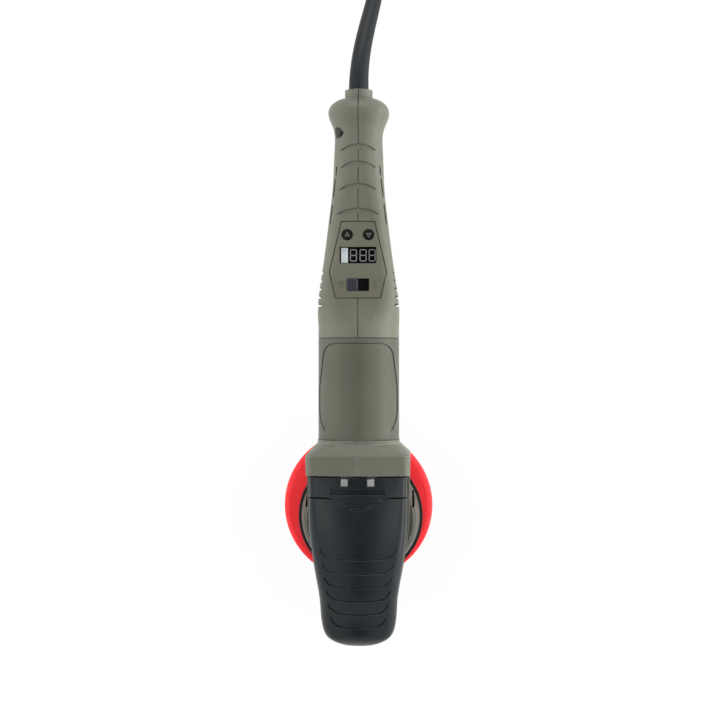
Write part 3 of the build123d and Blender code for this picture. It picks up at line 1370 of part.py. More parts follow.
# Each tab has a low tongue that runs back under the band's edge to the head shell
tab_rear_y = COVER_EDGE_Y - TAB_SETBACK
tab_top = MOTOR_AXIS_Z + head_stations()[1][2]
tongue_top = tab_top - TONGUE_DROP
with BuildPart() as vent_band:
    add(head_outer)
    add(cover_zone(COVER_EDGE_Y - COVER_SEAM), mode=Mode.INTERSECT)
    add(behind_band_seam(BAND_SEAM / 2), mode=Mode.INTERSECT)
    add(head_cavity.part, mode=Mode.SUBTRACT)
    add(slot_pocket.part, mode=Mode.SUBTRACT)
    for side in (-1, 1):
        notch_half = TAB_WIDTH / 2 + SEAM_GAP
        notch_x = (side * TAB_X - notch_half, side * TAB_X + notch_half)
        notch_y = (tab_rear_y - TAB_LENGTH - SEAM_GAP, tab_rear_y + SEAM_GAP)
        tongue_z = (MOTOR_AXIS_Z, tongue_top + SEAM_GAP)
        add(block(notch_x, notch_y, (MOTOR_AXIS_Z, MOTOR_TOP_Z + MOTOR_DIAMETER)), mode=Mode.SUBTRACT)
        add(block(notch_x, (tab_rear_y, COVER_EDGE_Y), tongue_z), mode=Mode.SUBTRACT)
vent_band.part.label = "vent_band"

with BuildPart() as latch_tabs:
    for side in (-1, 1):
        tab_x = (side * TAB_X - TAB_WIDTH / 2, side * TAB_X + TAB_WIDTH / 2)
        add(block(tab_x, (tab_rear_y - TAB_LENGTH, tab_rear_y), (tab_top - TAB_DEPTH, tab_top)))
    chamfer(latch_tabs.faces().group_by(Axis.Z)[-1].edges().filter_by(Axis.X), 0.8)
    for side in (-1, 1):
        tab_x = (side * TAB_X - TAB_WIDTH / 2, side * TAB_X + TAB_WIDTH / 2)
        add(block(tab_x, (tab_rear_y - 1.0, COVER_EDGE_Y), (tab_top - TAB_DEPTH, tongue_top)))
latch_tabs.part.label = "latch_tabs"

with BuildPart() as rib_grooves:
    with BuildSketch(Plane.XY.offset(MOTOR_AXIS_Z - MOTOR_DIAMETER / 4)):
        for rib in range(RIB_COUNT):
            rib_y = RIB_FIRST_Y - rib * RIB_PITCH
            rib_half = RIB_HALF_WIDTH - rib * RIB_TAPER
            level_half = rib_half - RIB_TURN
            level_end_y = rib_y + RIB_SAG
            with BuildLine():
                level = ThreePointArc((-level_half, level_end_y), (0, rib_y), (level_half, level_end_y))
                TangentArc(level @ 1, (rib_half, rib_y + RIB_RISE), tangent=level % 1)
                TangentArc(level @ 0, (-rib_half, rib_y + RIB_RISE), tangent=-(level % 0))
            trace(line_width=RIB_GROOVE_WIDTH)
    extrude(amount=MOTOR_DIAMETER)
    add(head_outer.moved(Location((0, 0, -GROOVE_DEPTH))), mode=Mode.SUBTRACT)

with BuildPart() as front_grip:
    add(head_outer)
    add(cover_zone(COVER_EDGE_Y), mode=Mode.INTERSECT)
    add(behind_band_seam(-BAND_SEAM / 2), mode=Mode.SUBTRACT)
    add(head_cavity.part, mode=Mode.SUBTRACT)
    add(rib_grooves.part, mode=Mode.SUBTRACT)
front_grip.part.label = "front_grip"

# Handle: outer and inner shapes, then bosses and ribs that the cavity leaves standing
handle_outer = handle_solid(0)
handle_inner = handle_solid(HANDLE_WALL)
handle_skin = handle_solid(GROOVE_DEPTH)
panel_floor = handle_solid(PANEL_THICKNESS + FIT)

handle_screw_places = [
    (HANDLE_REAR_Y - 27.5, MOTOR_AXIS_Z + 12.3),
    (MOTOR_REAR_Y + 123.4, MOTOR_AXIS_Z - 14.0),
    (MOTOR_REAR_Y + 65.4, MOTOR_AXIS_Z - 18.0),
    (MOTOR_REAR_Y + 20.4, MOTOR_AXIS_Z - 21.0),
]
button_y = MOTOR_REAR_Y + BUTTON_STATION
display_y = MOTOR_REAR_Y + DISPLAY_STATION
switch_y = MOTOR_REAR_Y + SWITCH_STATION
panel_underside_z = PANEL_TOP_Z - PANEL_THICKNESS - 0.5
lens_bottom_z = panel_underside_z - LENS_THICKNESS
board_top_z = lens_bottom_z - DISPLAY_HEIGHT
board_z = board_top_z - BOARD_THICKNESS
board_front_y = MOTOR_REAR_Y + PANEL_REAR - BOARD_LENGTH
board_rear_y = board_front_y + BOARD_LENGTH
switch_top_z = panel_underside_z - SWITCH_BASE_THICKNESS - SLIDE_GAP
controller_y = MOTOR_REAR_Y + CONTROLLER_STATION
controller_z = MOTOR_AXIS_Z - CONTROLLER_HEIGHT / 2 + 3.0
clamp_y = MOTOR_REAR_Y + CLAMP_STATION
clamp_z = MOTOR_AXIS_Z
boot_seat_y = HANDLE_REAR_Y - HANDLE_WALL
wide = MOTOR_DIAMETER


def panel_outline(grow):
    """Six-sided outline of the control panel, grown or drawn in on every side."""
    front = MOTOR_REAR_Y + PANEL_FRONT - grow
    widest = MOTOR_REAR_Y + PANEL_WIDEST
    rear = MOTOR_REAR_Y + PANEL_REAR + grow
    return [
        (-PANEL_FRONT_HALF - grow, front),
        (PANEL_FRONT_HALF + grow, front),
        (PANEL_WIDEST_HALF + grow, widest),
        (PANEL_REAR_HALF + grow, rear),
        (-PANEL_REAR_HALF - grow, rear),
        (-PANEL_WIDEST_HALF - grow, widest),
    ]


with BuildPart() as handle_cavity:
    add(handle_inner)
    for y, z in handle_screw_places:
        add(crosswise(-wide, wide, y, z, HANDLE_SCREW_BOSS / 2), mode=Mode.SUBTRACT)
    for side in (-1, 1):
        board_ledge = sorted((side * (BOARD_HALF_WIDTH - BOARD_LEDGE), side * wide))
        for ledge_y in (board_front_y + 3.0, board_rear_y - 7.0):
            add(
                block(board_ledge, (ledge_y, ledge_y + 4.0), (board_z - BOARD_LEDGE, board_z)),
                mode=Mode.SUBTRACT,
            )
        switch_rib = sorted((side * SWITCH_BODY_LENGTH / 2, side * wide))
        add(
            block(
                switch_rib,
                (switch_y - 3.0, switch_y + 3.0),
                (switch_top_z - SWITCH_BODY_HEIGHT, switch_top_z - 4.0),
            ),
            mode=Mode.SUBTRACT,
        )
        controller_rib = sorted((side * CONTROLLER_WIDTH / 2, side * wide))
        for rib_y in (controller_y + 4.0, controller_y + CONTROLLER_LENGTH - 7.0):
            add(
                block(
                    controller_rib,
                    (rib_y, rib_y + 3.0),
                    (controller_z, controller_z + CONTROLLER_HEIGHT / 2),
                ),
                mode=Mode.SUBTRACT,
            )
        clamp_post = sorted((side * (CORD_DIAMETER / 2 + 1.5), side * CLAMP_LENGTH / 2))
        add(
            block(clamp_post, (clamp_y, clamp_y + CLAMP_WIDTH), (clamp_z - wide, clamp_z)),
            mode=Mode.SUBTRACT,
        )

finger_grooves = [
    (HANDLE_REAR_Y - 36.9, 14.0),
    (HANDLE_REAR_Y - 50.4, 14.0),
    (HANDLE_REAR_Y - 67.9, 14.5),
    (HANDLE_REAR_Y - 87.4, 16.5),
]
with BuildPart() as handle_grooves:
    with BuildSketch(Plane.XY.offset(MOTOR_AXIS_Z)):
        for groove_y, half_length in finger_grooves:
            with BuildLine():
                crest = ThreePointArc(
                    (-half_length, groove_y - 5.2), (0, groove_y), (half_length, groove_y - 5.2)
                )
                ThreePointArc(crest @ 1, (0, groove_y - 4.4), crest @ 0)
            make_face()
        for side in (-1, 1):
            for front, rear in SIDE_DASHES:
                front_x = side * (SIDE_DASH_X - SIDE_DASH_SLOPE * (front - SIDE_DASHES[0][0]))
                rear_x = side * (SIDE_DASH_X - SIDE_DASH_SLOPE * (rear - SIDE_DASHES[0][0]))
                with BuildLine():
                    Line((front_x, MOTOR_REAR_Y + front), (rear_x, MOTOR_REAR_Y + rear))
                trace(line_width=SIDE_DASH_WIDTH)
    extrude(amount=wide)
    add(block((-SEAM_WIDTH / 2, SEAM_WIDTH / 2), (MOTOR_REAR_Y, COLLAR_REAR_Y + 1.0), (0.0, 3.0 * wide)))
    add(handle_skin, mode=Mode.SUBTRACT)
    collar_core = COLLAR_DIAMETER / 2 - GROOVE_DEPTH
    add(along_motor(HANDLE_REAR_Y - 4.0, COLLAR_REAR_Y, collar_core), mode=Mode.SUBTRACT)

with BuildPart() as panel_recess:
    add(plan_prism(panel_outline(PANEL_GAP), MOTOR_AXIS_Z, PANEL_TOP_Z + wide))
    add(panel_floor, mode=Mode.SUBTRACT)

with BuildPart() as handle_shell:
    add(handle_outer)
    add(along_motor(HANDLE_REAR_Y - 4.0, COLLAR_REAR_Y, COLLAR_DIAMETER / 2))
    add(handle_cavity.part, mode=Mode.SUBTRACT)
    add(handle_grooves.part, mode=Mode.SUBTRACT)
    add(panel_recess.part, mode=Mode.SUBTRACT)
    add(
        plan_prism(panel_outline(-PANEL_LEDGE), MOTOR_AXIS_Z + PANEL_HALF_HEIGHT / 2, PANEL_TOP_Z + wide),
        mode=Mode.SUBTRACT,
    )
    add(along_motor(boot_seat_y - 1.0, COLLAR_REAR_Y + 1.0, BOOT_DIAMETER / 2 + FIT), mode=Mode.SUBTRACT)
    for side in (-1, 1):
        button_pocket = BUTTON_FLANGE / 2 + SLIDE_GAP
        add(upright(side * BUTTON_X, button_y, board_top_z, PANEL_TOP_Z, button_pocket), mode=Mode.SUBTRACT)
    for louvre in range(LOUVRE_COUNT):
        louvre_y = MOTOR_REAR_Y + LOUVRE_FIRST + louvre * LOUVRE_PITCH
        for side in (-1, 1):
            add(
                block(
                    sorted((side * (MOTOR_DIAMETER / 2 - 9.0), side * wide)),
                    (louvre_y - LOUVRE_WIDTH / 2, louvre_y + LOUVRE_WIDTH / 2),
                    (MOTOR_AXIS_Z - LOUVRE_DROP, MOTOR_AXIS_Z + LOUVRE_RISE),
                ),
                mode=Mode.SUBTRACT,
            )
    for y, z in handle_screw_places:
        add(crosswise(-wide, -HANDLE_SCREW_SEAT, y, z, HANDLE_SCREW_RECESS / 2), mode=Mode.SUBTRACT)
        add(
            crosswise(
                -HANDLE_SCREW_SEAT,
                HANDLE_SCREW_LENGTH - HANDLE_SCREW_SEAT + 1.0,
                y,
                z,
                HANDLE_SCREW_DIAMETER / 2 + SCREW_GAP,
            ),
            mode=Mode.SUBTRACT,
        )
    for side in (-1, 1):
        add(
            upright(
                side * CLAMP_SCREW_X,
                clamp_y + CLAMP_WIDTH / 2,
                clamp_z - 11.0,
                clamp_z,
                CLAMP_SCREW_DIAMETER / 2 + SCREW_GAP,
            ),
            mode=Mode.SUBTRACT,
        )

with BuildPart() as handle_left:
    add(handle_shell.part)
    split(bisect_by=Plane.YZ, keep=Keep.BOTTOM)
handle_left.part.label = "handle_left"

with BuildPart() as handle_right:
    add(handle_shell.part)
    split(bisect_by=Plane.YZ, keep=Keep.TOP)
handle_right.part.label = "handle_right"

with BuildPart() as handle_screws:
    for y, z in handle_screw_places:
        add(
            crosswise(
                -HANDLE_SCREW_SEAT - SCREW_HEAD_HEIGHT,
                -HANDLE_SCREW_SEAT,
                y,
                z,
                HANDLE_SCREW_RECESS / 2 - SLIDE_GAP,
            )
        )
        add(
            crosswise(
                -HANDLE_SCREW_SEAT, HANDLE_SCREW_LENGTH - HANDLE_SCREW_SEAT, y, z, HANDLE_SCREW_DIAMETER / 2
            )
        )
        screw_top_x = -HANDLE_SCREW_SEAT - SCREW_HEAD_HEIGHT
        for reach_y, reach_z in (
            (SCREW_DRIVE_SPAN / 2, SCREW_DRIVE_WIDTH / 2),
            (SCREW_DRIVE_WIDTH / 2, SCREW_DRIVE_SPAN / 2),
        ):
            add(
                block(
                    (screw_top_x, screw_top_x + SCREW_DRIVE_DEPTH),
                    (y - reach_y, y + reach_y),
                    (z - reach_z, z + reach_z),
                ),
                mode=Mode.SUBTRACT,
            )
    for side in (-1, 1):
        screw_y = clamp_y + CLAMP_WIDTH / 2
        screw_top = clamp_z + CLAMP_THICKNESS
        add(upright(side * CLAMP_SCREW_X, screw_y, clamp_z - 10.0, screw_top, CLAMP_SCREW_DIAMETER / 2))
        add(upright(side * CLAMP_SCREW_X, screw_y, screw_top, screw_top + 2.0, CLAMP_SCREW_DIAMETER * 0.8))
handle_screws.part.label = "handle_screws"

# Control panel and what shows through it
opening_half = SWITCH_OPENING_LENGTH / 2
with BuildPart() as control_panel:
    add(handle_outer)
    add(plan_prism(panel_outline(0.0), MOTOR_AXIS_Z, PANEL_TOP_Z + wide), mode=Mode.INTERSECT)
    add(handle_solid(PANEL_THICKNESS), mode=Mode.SUBTRACT)
    with BuildSketch(Plane.XY.offset(MOTOR_AXIS_Z)):
        with Locations((-BUTTON_X, button_y), (BUTTON_X, button_y)):
            Circle(BUTTON_DIAMETER / 2 + SLIDE_GAP)
        with Locations((0, display_y)):
            RectangleRounded(DISPLAY_LENGTH, DISPLAY_WIDTH, 0.8)
        with Locations((0, switch_y)):
            RectangleRounded(SWITCH_OPENING_LENGTH, SWITCH_OPENING_WIDTH, 0.8)
    extrude(amount=wide, mode=Mode.SUBTRACT)
control_panel.part.label = "control_panel"

with BuildPart() as display_lens:
    with BuildSketch(Plane.XY.offset(lens_bottom_z)):
        with Locations((0, display_y)):
            RectangleRounded(DISPLAY_LENGTH + 2 * LENS_OVERLAP, DISPLAY_WIDTH + 2 * LENS_OVERLAP, 1.5)
    extrude(amount=LENS_THICKNESS)
display_lens.part.label = "display_lens"

with BuildPart() as display_module:
    with BuildSketch(Plane.XY.offset(board_top_z)):
        with Locations((0, display_y)):
            Rectangle(DISPLAY_LENGTH, DISPLAY_WIDTH)
    extrude(amount=DISPLAY_HEIGHT)
display_module.part.label = "display_module"

with BuildPart() as circuit_board:
    with BuildSketch(Plane.XY.offset(board_z)):
        with Locations((0, (board_front_y + board_rear_y) / 2)):
            Rectangle(2 * BOARD_HALF_WIDTH, BOARD_LENGTH)
    extrude(amount=BOARD_THICKNESS)
circuit_board.part.label = "circuit_board"

with BuildPart() as tact_switches:
    with BuildSketch(Plane.XY.offset(board_top_z)):
        with Locations((-BUTTON_X, button_y), (BUTTON_X, button_y)):
            Rectangle(TACT_SIZE, TACT_SIZE)
    extrude(amount=TACT_HEIGHT - 1.0)
    with BuildSketch(Plane.XY.offset(board_top_z + TACT_HEIGHT - 1.0)):
        with Locations((-BUTTON_X, button_y), (BUTTON_X, button_y)):
            Circle(TACT_SIZE / 4)
    extrude(amount=1.0)
tact_switches.part.label = "tact_switches"


def speed_button(x):
    """Rubber button with a flange that keeps it under the panel."""
    flange_top = panel_underside_z - SLIDE_GAP
    stem_bottom = board_top_z + TACT_HEIGHT + BUTTON_TRAVEL + SCREW_GAP
    with BuildPart() as button:
        add(upright(x, button_y, stem_bottom, flange_top, BUTTON_FLANGE / 2))
        add(upright(x, button_y, flange_top, PANEL_TOP_Z + BUTTON_PROUD, BUTTON_DIAMETER / 2))
        fillet(button.faces().sort_by(Axis.Z)[-1].edges(), 0.6)
    return button.part


with BuildPart() as speed_down_button:
    add(speed_button(-BUTTON_X))
speed_down_button.part.label = "speed_down_button"

with BuildPart() as speed_up_button:
    add(speed_button(BUTTON_X))
speed_up_button.part.label = "speed_up_button"

knob_left = -opening_half + SLIDE_GAP
knob_right = knob_left + SWITCH_KNOB_LENGTH
knob_half_width = SWITCH_OPENING_WIDTH / 2 - SLIDE_GAP
with BuildPart() as switch_slider:
    add(
        block(
            (knob_left - 2.0, knob_right + 2.0),
            (switch_y - knob_half_width - 0.8, switch_y + knob_half_width + 0.8),
            (panel_underside_z - SWITCH_BASE_THICKNESS, panel_underside_z - SLIDE_GAP / 2),
        )
    )
    add(
        block(
            (knob_left, knob_right),
            (switch_y - knob_half_width, switch_y + knob_half_width),
            (panel_underside_z - SLIDE_GAP / 2, PANEL_TOP_Z + SWITCH_KNOB_PROUD),
        )
    )
    chamfer(switch_slider.faces().sort_by(Axis.Z)[-1].edges(), 0.5)
    with BuildSketch(Plane.XY.offset(PANEL_TOP_Z + SWITCH_KNOB_PROUD)):
        with Locations(((knob_left + knob_right) / 2, switch_y)):
            with GridLocations(2.0, 0, 3, 1):
                Rectangle(0.9, 2 * knob_half_width - 1.6)
    extrude(amount=-0.7, mode=Mode.SUBTRACT)
switch_slider.part.label = "switch_slider"

with BuildPart() as main_switch:
    add(
        block(
            (-SWITCH_BODY_LENGTH / 2, SWITCH_BODY_LENGTH / 2),
            (switch_y - SWITCH_BODY_WIDTH / 2, switch_y + SWITCH_BODY_WIDTH / 2),
            (switch_top_z - SWITCH_BODY_HEIGHT, switch_top_z),
        )
    )
main_switch.part.label = "main_switch"

with BuildPart() as speed_controller:
    add(
        block(
            (-CONTROLLER_WIDTH / 2, CONTROLLER_WIDTH / 2),
            (controller_y, controller_y + CONTROLLER_LENGTH),
            (controller_z, controller_z + CONTROLLER_HEIGHT),
        )
    )
    fillet(speed_controller.edges().filter_by(Axis.Z), 2.0)
speed_controller.part.label = "speed_controller"

# Cord inside the handle, its clamp and its boot
with BuildPart() as cable_clamp:
    add(
        block(
            (-CLAMP_LENGTH / 2, CLAMP_LENGTH / 2),
            (clamp_y, clamp_y + CLAMP_WIDTH),
            (clamp_z, clamp_z + CLAMP_THICKNESS),
        )
    )
    fillet(cable_clamp.edges().filter_by(Axis.Y).group_by(Axis.Z)[-1], 2.5)
    add(along_motor(clamp_y, clamp_y + CLAMP_WIDTH, CORD_DIAMETER / 2 + FIT), mode=Mode.SUBTRACT)
    for side in (-1, 1):
        add(
            upright(
                side * CLAMP_SCREW_X,
                clamp_y + CLAMP_WIDTH / 2,
                clamp_z,
                clamp_z + CLAMP_THICKNESS,
                CLAMP_SCREW_DIAMETER / 2 + SCREW_GAP,
            ),
            mode=Mode.SUBTRACT,
        )
cable_clamp.part.label = "cable_clamp"

boot_inner_y = boot_seat_y - BOOT_FLANGE_THICKNESS
with BuildPart() as cord_entry:
    add(along_motor(clamp_y - 4.0, boot_inner_y, CORD_DIAMETER / 2))
cord_entry.part.label = "cord_entry"

boot_points = [
    (0.0, COLLAR_REAR_Y, MOTOR_AXIS_Z),
    (BOOT_CORNER[0], BOOT_CORNER[1], MOTOR_AXIS_Z),
    BOOT_END,
]
boot_turn = (Vector(boot_points[1]) - Vector(boot_points[0])).get_angle(
    Vector(boot_points[2]) - Vector(boot_points[1])
)
with BuildPart() as cord_boot:
    add(along_motor(boot_inner_y, boot_seat_y, BOOT_FLANGE_DIAMETER / 2))
    add(along_motor(boot_seat_y, COLLAR_REAR_Y, BOOT_DIAMETER / 2))
    with BuildLine(mode=Mode.PRIVATE) as boot_line:
        FilletPolyline(*boot_points, radius=BOOT_BEND_RUN / tan(radians(boot_turn) / 2))
    for share in (0.0, 0.25, 0.5, 0.75, 1.0):
        boot_radius = (BOOT_DIAMETER + (BOOT_END_DIAMETER - BOOT_DIAMETER) * share**0.8) / 2
        with BuildSketch(Plane(origin=boot_line.line @ share, z_dir=boot_line.line % share, x_dir=(1, 0, 0))):
            Circle(boot_radius)
    loft()
cord_boot.part.label = "cord_boot"

# Cord coil: one tube that spirals in, climbs a layer and spirals out again
coil_floor_z = TIE_THICKNESS + CORD_DIAMETER / 2 + 0.1
coil_layer_rise = COIL_PITCH
coil_outer_radius = COIL_INNER_RADIUS + COIL_PITCH * COIL_TURNS
layer_angle = 2 * pi * COIL_TURNS
radial_rate = COIL_PITCH / (2 * pi)


def coil_station(angle, radius, height, radial, climb):
    """Point on the coil and the cord's direction there."""
    outward = Vector(cos(angle), sin(angle), 0)
    forward = Vector(-sin(angle), cos(angle), 0)
    point = Vector(COIL_CENTRE[0], COIL_CENTRE[1], height) + outward * radius
    heading = (forward * radius + outward * radial + Vector(0, 0, climb)).normalized()
    return point, heading


start_angle = radians(COIL_START_ANGLE)
coil_stations = []
for span in range(COIL_SPANS + 1):
    share = span / COIL_SPANS
    coil_stations.append(
        coil_station(
            start_angle + share * layer_angle,
            coil_outer_radius - share * COIL_PITCH * COIL_TURNS,
            coil_floor_z,
            -radial_rate,
            0.0,
        )
    )
coil_stations.append(
    coil_station(
        start_angle + layer_angle + pi / 2,
        COIL_INNER_RADIUS - COIL_CLIMB_DIP,
        coil_floor_z + coil_layer_rise / 2,
        0.0,
        1.5 * coil_layer_rise / pi,
    )
)
for span in range(COIL_SPANS + 1):
    share = span / COIL_SPANS
    coil_stations.append(
        coil_station(
            start_angle + layer_angle + pi + share * layer_angle,
            COIL_INNER_RADIUS + share * COIL_PITCH * COIL_TURNS,
            coil_floor_z + coil_layer_rise,
            radial_rate,
            0.0,
        )
    )


def biarc_middle(start, start_heading, end, end_heading):
    """Point where two tangent arcs of equal reach meet between two stations."""
    chord = end - start
    headings = start_heading + end_heading
    square = headings.dot(headings) - 4.0
    along = chord.dot(headings)
    reach = (along - (along**2 - square * chord.dot(chord)) ** 0.5) / square
    return (start + start_heading * reach + end - end_heading * reach) * 0.5


coil_start, coil_start_heading = coil_stations[0]
coil_end, coil_end_heading = coil_stations[-1]
coil_entry = coil_start - coil_start_heading * CORD_DIAMETER
coil_exit = coil_end + coil_end_heading * CORD_DIAMETER
with BuildPart() as cord_coil:
    with BuildLine() as coil_line:
        Line(coil_entry, coil_start)
        for (here, heading), (there, next_heading) in zip(coil_stations, coil_stations[1:]):
            middle = biarc_middle(here, heading, there, next_heading)
            first_arc = TangentArc(here, middle, tangent=heading)
            TangentArc(middle, there, tangent=first_arc % 1)
        Line(coil_end, coil_exit)
    with BuildSketch(Plane(origin=coil_entry, z_dir=coil_start_heading)):
        Circle(CORD_DIAMETER / 2)
    sweep()
cord_coil.part.label = "cord_coil"

coil_length = sum(edge.length for edge in coil_line.line.edges())
coil_samples = []
for edge in coil_line.line.edges():
    steps = max(2, round(edge.length / 3.0))
    coil_samples.extend(edge @ (step / steps) for step in range(steps))
apart = round(4 * CORD_DIAMETER / 3.0)
least_gap = min(
    (coil_samples[first] - coil_samples[second]).length
    for first in range(len(coil_samples))
    for second in range(first + apart, len(coil_samples))
) - CORD_DIAMETER
print("coil length", round(coil_length, 1), "mm, least gap to itself", round(least_gap, 2), "mm")
print("coil volume over section times length",
      round(cord_coil.part.volume / (pi * CORD_DIAMETER**2 / 4 * coil_length), 4))

# Free stretches of the cord, the tie and the plug
boot_heading = (Vector(boot_points[2]) - Vector(boot_points[1])).normalized()
lead_points = [
    BOOT_END,
    Vector(BOOT_END) + boot_heading * LEAD_FIRST_RUN,
    *LEAD_MIDDLE,
    coil_entry - coil_start_heading * ROUTE_END_RUN,
    coil_entry,
]
plug_z = PLUG_HEIGHT / 2 + FIT
plug_rear = Vector(PLUG_REAR[0], PLUG_REAR[1], plug_z)
tail_points = [
    coil_exit,
    coil_exit + coil_end_heading * ROUTE_END_RUN,
    *TAIL_MIDDLE,
    plug_rear + Vector(ROUTE_END_RUN, 0, 0),
    plug_rear,
]
with BuildPart() as cord_lead:
    add(cord_tube(lead_points))
cord_lead.part.label = "cord_lead"

with BuildPart() as cord_tail:
    add(cord_tube(tail_points))
cord_tail.part.label = "cord_tail"

tie_inner_x = COIL_CENTRE[0] - COIL_INNER_RADIUS + CORD_DIAMETER / 2 + COIL_CLIMB_DIP + TIE_GAP
tie_outer_x = COIL_CENTRE[0] - coil_outer_radius - CORD_DIAMETER / 2 - TIE_GAP
tie_low = coil_floor_z - CORD_DIAMETER / 2 - 0.1
tie_high = coil_floor_z + coil_layer_rise + CORD_DIAMETER / 2 + TIE_GAP
tie_y = (COIL_CENTRE[1] - TIE_WIDTH / 2, COIL_CENTRE[1] + TIE_WIDTH / 2)
with BuildPart() as cord_tie:
    add(
        block(
            (tie_outer_x - TIE_THICKNESS, tie_inner_x + TIE_THICKNESS),
            tie_y,
            (tie_low - TIE_THICKNESS, tie_high + TIE_THICKNESS),
        )
    )
    fillet(cord_tie.edges().filter_by(Axis.Y), 2.0)
    add(block((tie_outer_x, tie_inner_x), tie_y, (tie_low, tie_high)), mode=Mode.SUBTRACT)
cord_tie.part.label = "cord_tie"


def plug_plane(distance):
    """Plane across the plug at a distance from its cord end, with its own Y up."""
    return Plane(
        origin=(PLUG_REAR[0] - distance, PLUG_REAR[1], plug_z), x_dir=(0, 1, 0), z_dir=(1, 0, 0)
    )


with BuildPart() as plug_body:
    for distance, width, height, corner in (
        (0.0, CORD_DIAMETER + 3.5, CORD_DIAMETER + 3.5, (CORD_DIAMETER + 3.0) / 2),
        (14.0, CORD_DIAMETER + 6.5, CORD_DIAMETER + 5.0, (CORD_DIAMETER + 4.0) / 2),
        (26.0, 0.84 * PLUG_WIDTH, PLUG_HEIGHT - 0.6, 6.0),
        (PLUG_LENGTH, PLUG_WIDTH, PLUG_HEIGHT, 7.0),
    ):
        with BuildSketch(plug_plane(distance)):
            RectangleRounded(width, height, corner)
    loft(ruled=True)
    fillet(plug_body.faces().sort_by(Axis.X)[0].edges(), PLUG_EDGE_RADIUS)
    with BuildSketch(plug_plane(PLUG_LENGTH)):
        with GridLocations(PLUG_PIN_SPACING, 0, 2, 1):
            Circle(PLUG_PIN_ROOT_DIAMETER / 2 + FIT)
    extrude(amount=PLUG_PIN_ROOT, mode=Mode.SUBTRACT)
plug_body.part.label = "plug_body"

with BuildPart() as plug_pins:
    with BuildSketch(plug_plane(PLUG_LENGTH + PLUG_PIN_LENGTH)):
        with GridLocations(PLUG_PIN_SPACING, 0, 2, 1):
            Circle(PLUG_PIN_DIAMETER / 2)
    extrude(amount=PLUG_PIN_LENGTH)
    chamfer(plug_pins.faces().group_by(Axis.X)[0].edges(), 0.9)
    with BuildSketch(plug_plane(PLUG_LENGTH)):
        with GridLocations(PLUG_PIN_SPACING, 0, 2, 1):
            Circle(PLUG_PIN_ROOT_DIAMETER / 2)
    extrude(amount=PLUG_PIN_ROOT)
plug_pins.part.label = "plug_pins"

PIECES = [
    hook_face, backing_plate, plate_hub, plate_stud, plate_spindle, plate_bearing_outer,
    plate_bearing_inner, eccentric_spindle, counterweight, counterweight_screws,
    spindle_bearing_outer, spindle_bearing_inner, top_bush, bevel_gear, pinion, bearing_flange,
    gear_case, bearing_retainer, motor_bearings_outer, motor_bearings_inner, armature_shaft,
    armature_core, armature_windings, commutator, cooling_fan, field_core, field_coils,
    bearing_bridge, brush_holders, carbon_brushes, motor_housing, shroud, shroud_lip, case_screws,
    head_shell, vent_band, latch_tabs, front_grip, handle_left, handle_right, handle_screws,
    control_panel, display_lens, display_module, circuit_board, tact_switches, speed_down_button,
    speed_up_button, switch_slider, main_switch, speed_controller, cable_clamp, cord_entry,
    cord_boot, cord_coil, cord_lead, cord_tail, cord_tie, plug_body, plug_pins,
]
print(len(PIECES), "pieces")
for piece in PIECES:
    export_step(piece.part, f"parts/{piece.part.label}.step")
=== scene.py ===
"""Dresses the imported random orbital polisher: its cord, pad hooks, display, marks, finishes and studio."""

from __future__ import annotations

import json
import logging
import math
from contextlib import contextmanager
from dataclasses import dataclass, field
from enum import Enum
from typing import Any, Callable, Iterator, Sequence, Union

import bmesh
import bpy
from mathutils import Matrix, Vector

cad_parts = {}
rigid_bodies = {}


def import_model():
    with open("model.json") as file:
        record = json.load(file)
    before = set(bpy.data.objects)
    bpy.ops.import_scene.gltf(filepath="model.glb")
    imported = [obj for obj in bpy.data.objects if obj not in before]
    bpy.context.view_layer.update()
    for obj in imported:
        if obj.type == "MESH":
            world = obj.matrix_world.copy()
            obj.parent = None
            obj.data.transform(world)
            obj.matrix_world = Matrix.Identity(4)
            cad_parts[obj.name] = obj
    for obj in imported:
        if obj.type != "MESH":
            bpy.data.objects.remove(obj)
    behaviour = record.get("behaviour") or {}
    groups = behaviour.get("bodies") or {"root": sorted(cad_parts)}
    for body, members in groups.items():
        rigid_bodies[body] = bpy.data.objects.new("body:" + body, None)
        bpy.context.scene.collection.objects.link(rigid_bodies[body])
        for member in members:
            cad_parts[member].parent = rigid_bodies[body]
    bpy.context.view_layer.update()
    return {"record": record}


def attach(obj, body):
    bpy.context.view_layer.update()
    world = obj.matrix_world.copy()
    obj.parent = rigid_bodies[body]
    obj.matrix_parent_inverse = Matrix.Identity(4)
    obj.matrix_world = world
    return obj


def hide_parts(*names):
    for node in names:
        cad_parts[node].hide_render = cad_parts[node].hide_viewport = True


LOG = logging.getLogger("polisher")

Colour = tuple[float, float, float]
Point = tuple[float, float, float]
MM = 0.001
WHITE = (1.0, 1.0, 1.0, 1.0)


def srgb(red: int, green: int, blue: int) -> Colour:
    """Turns a colour as seen on a screen into linear light.

    Args:
        red: Red from 0 to 255.
        green: Green from 0 to 255.
        blue: Blue from 0 to 255.

    Returns:
        The linear colour.
    """

    def linear(level: int) -> float:
        """Gives one channel in linear light."""
        share = level / 255
        return share / 12.92 if share <= 0.04045 else ((share + 0.055) / 1.055) ** 2.4

    return linear(red), linear(green), linear(blue)


# Shader nodes as Python expressions


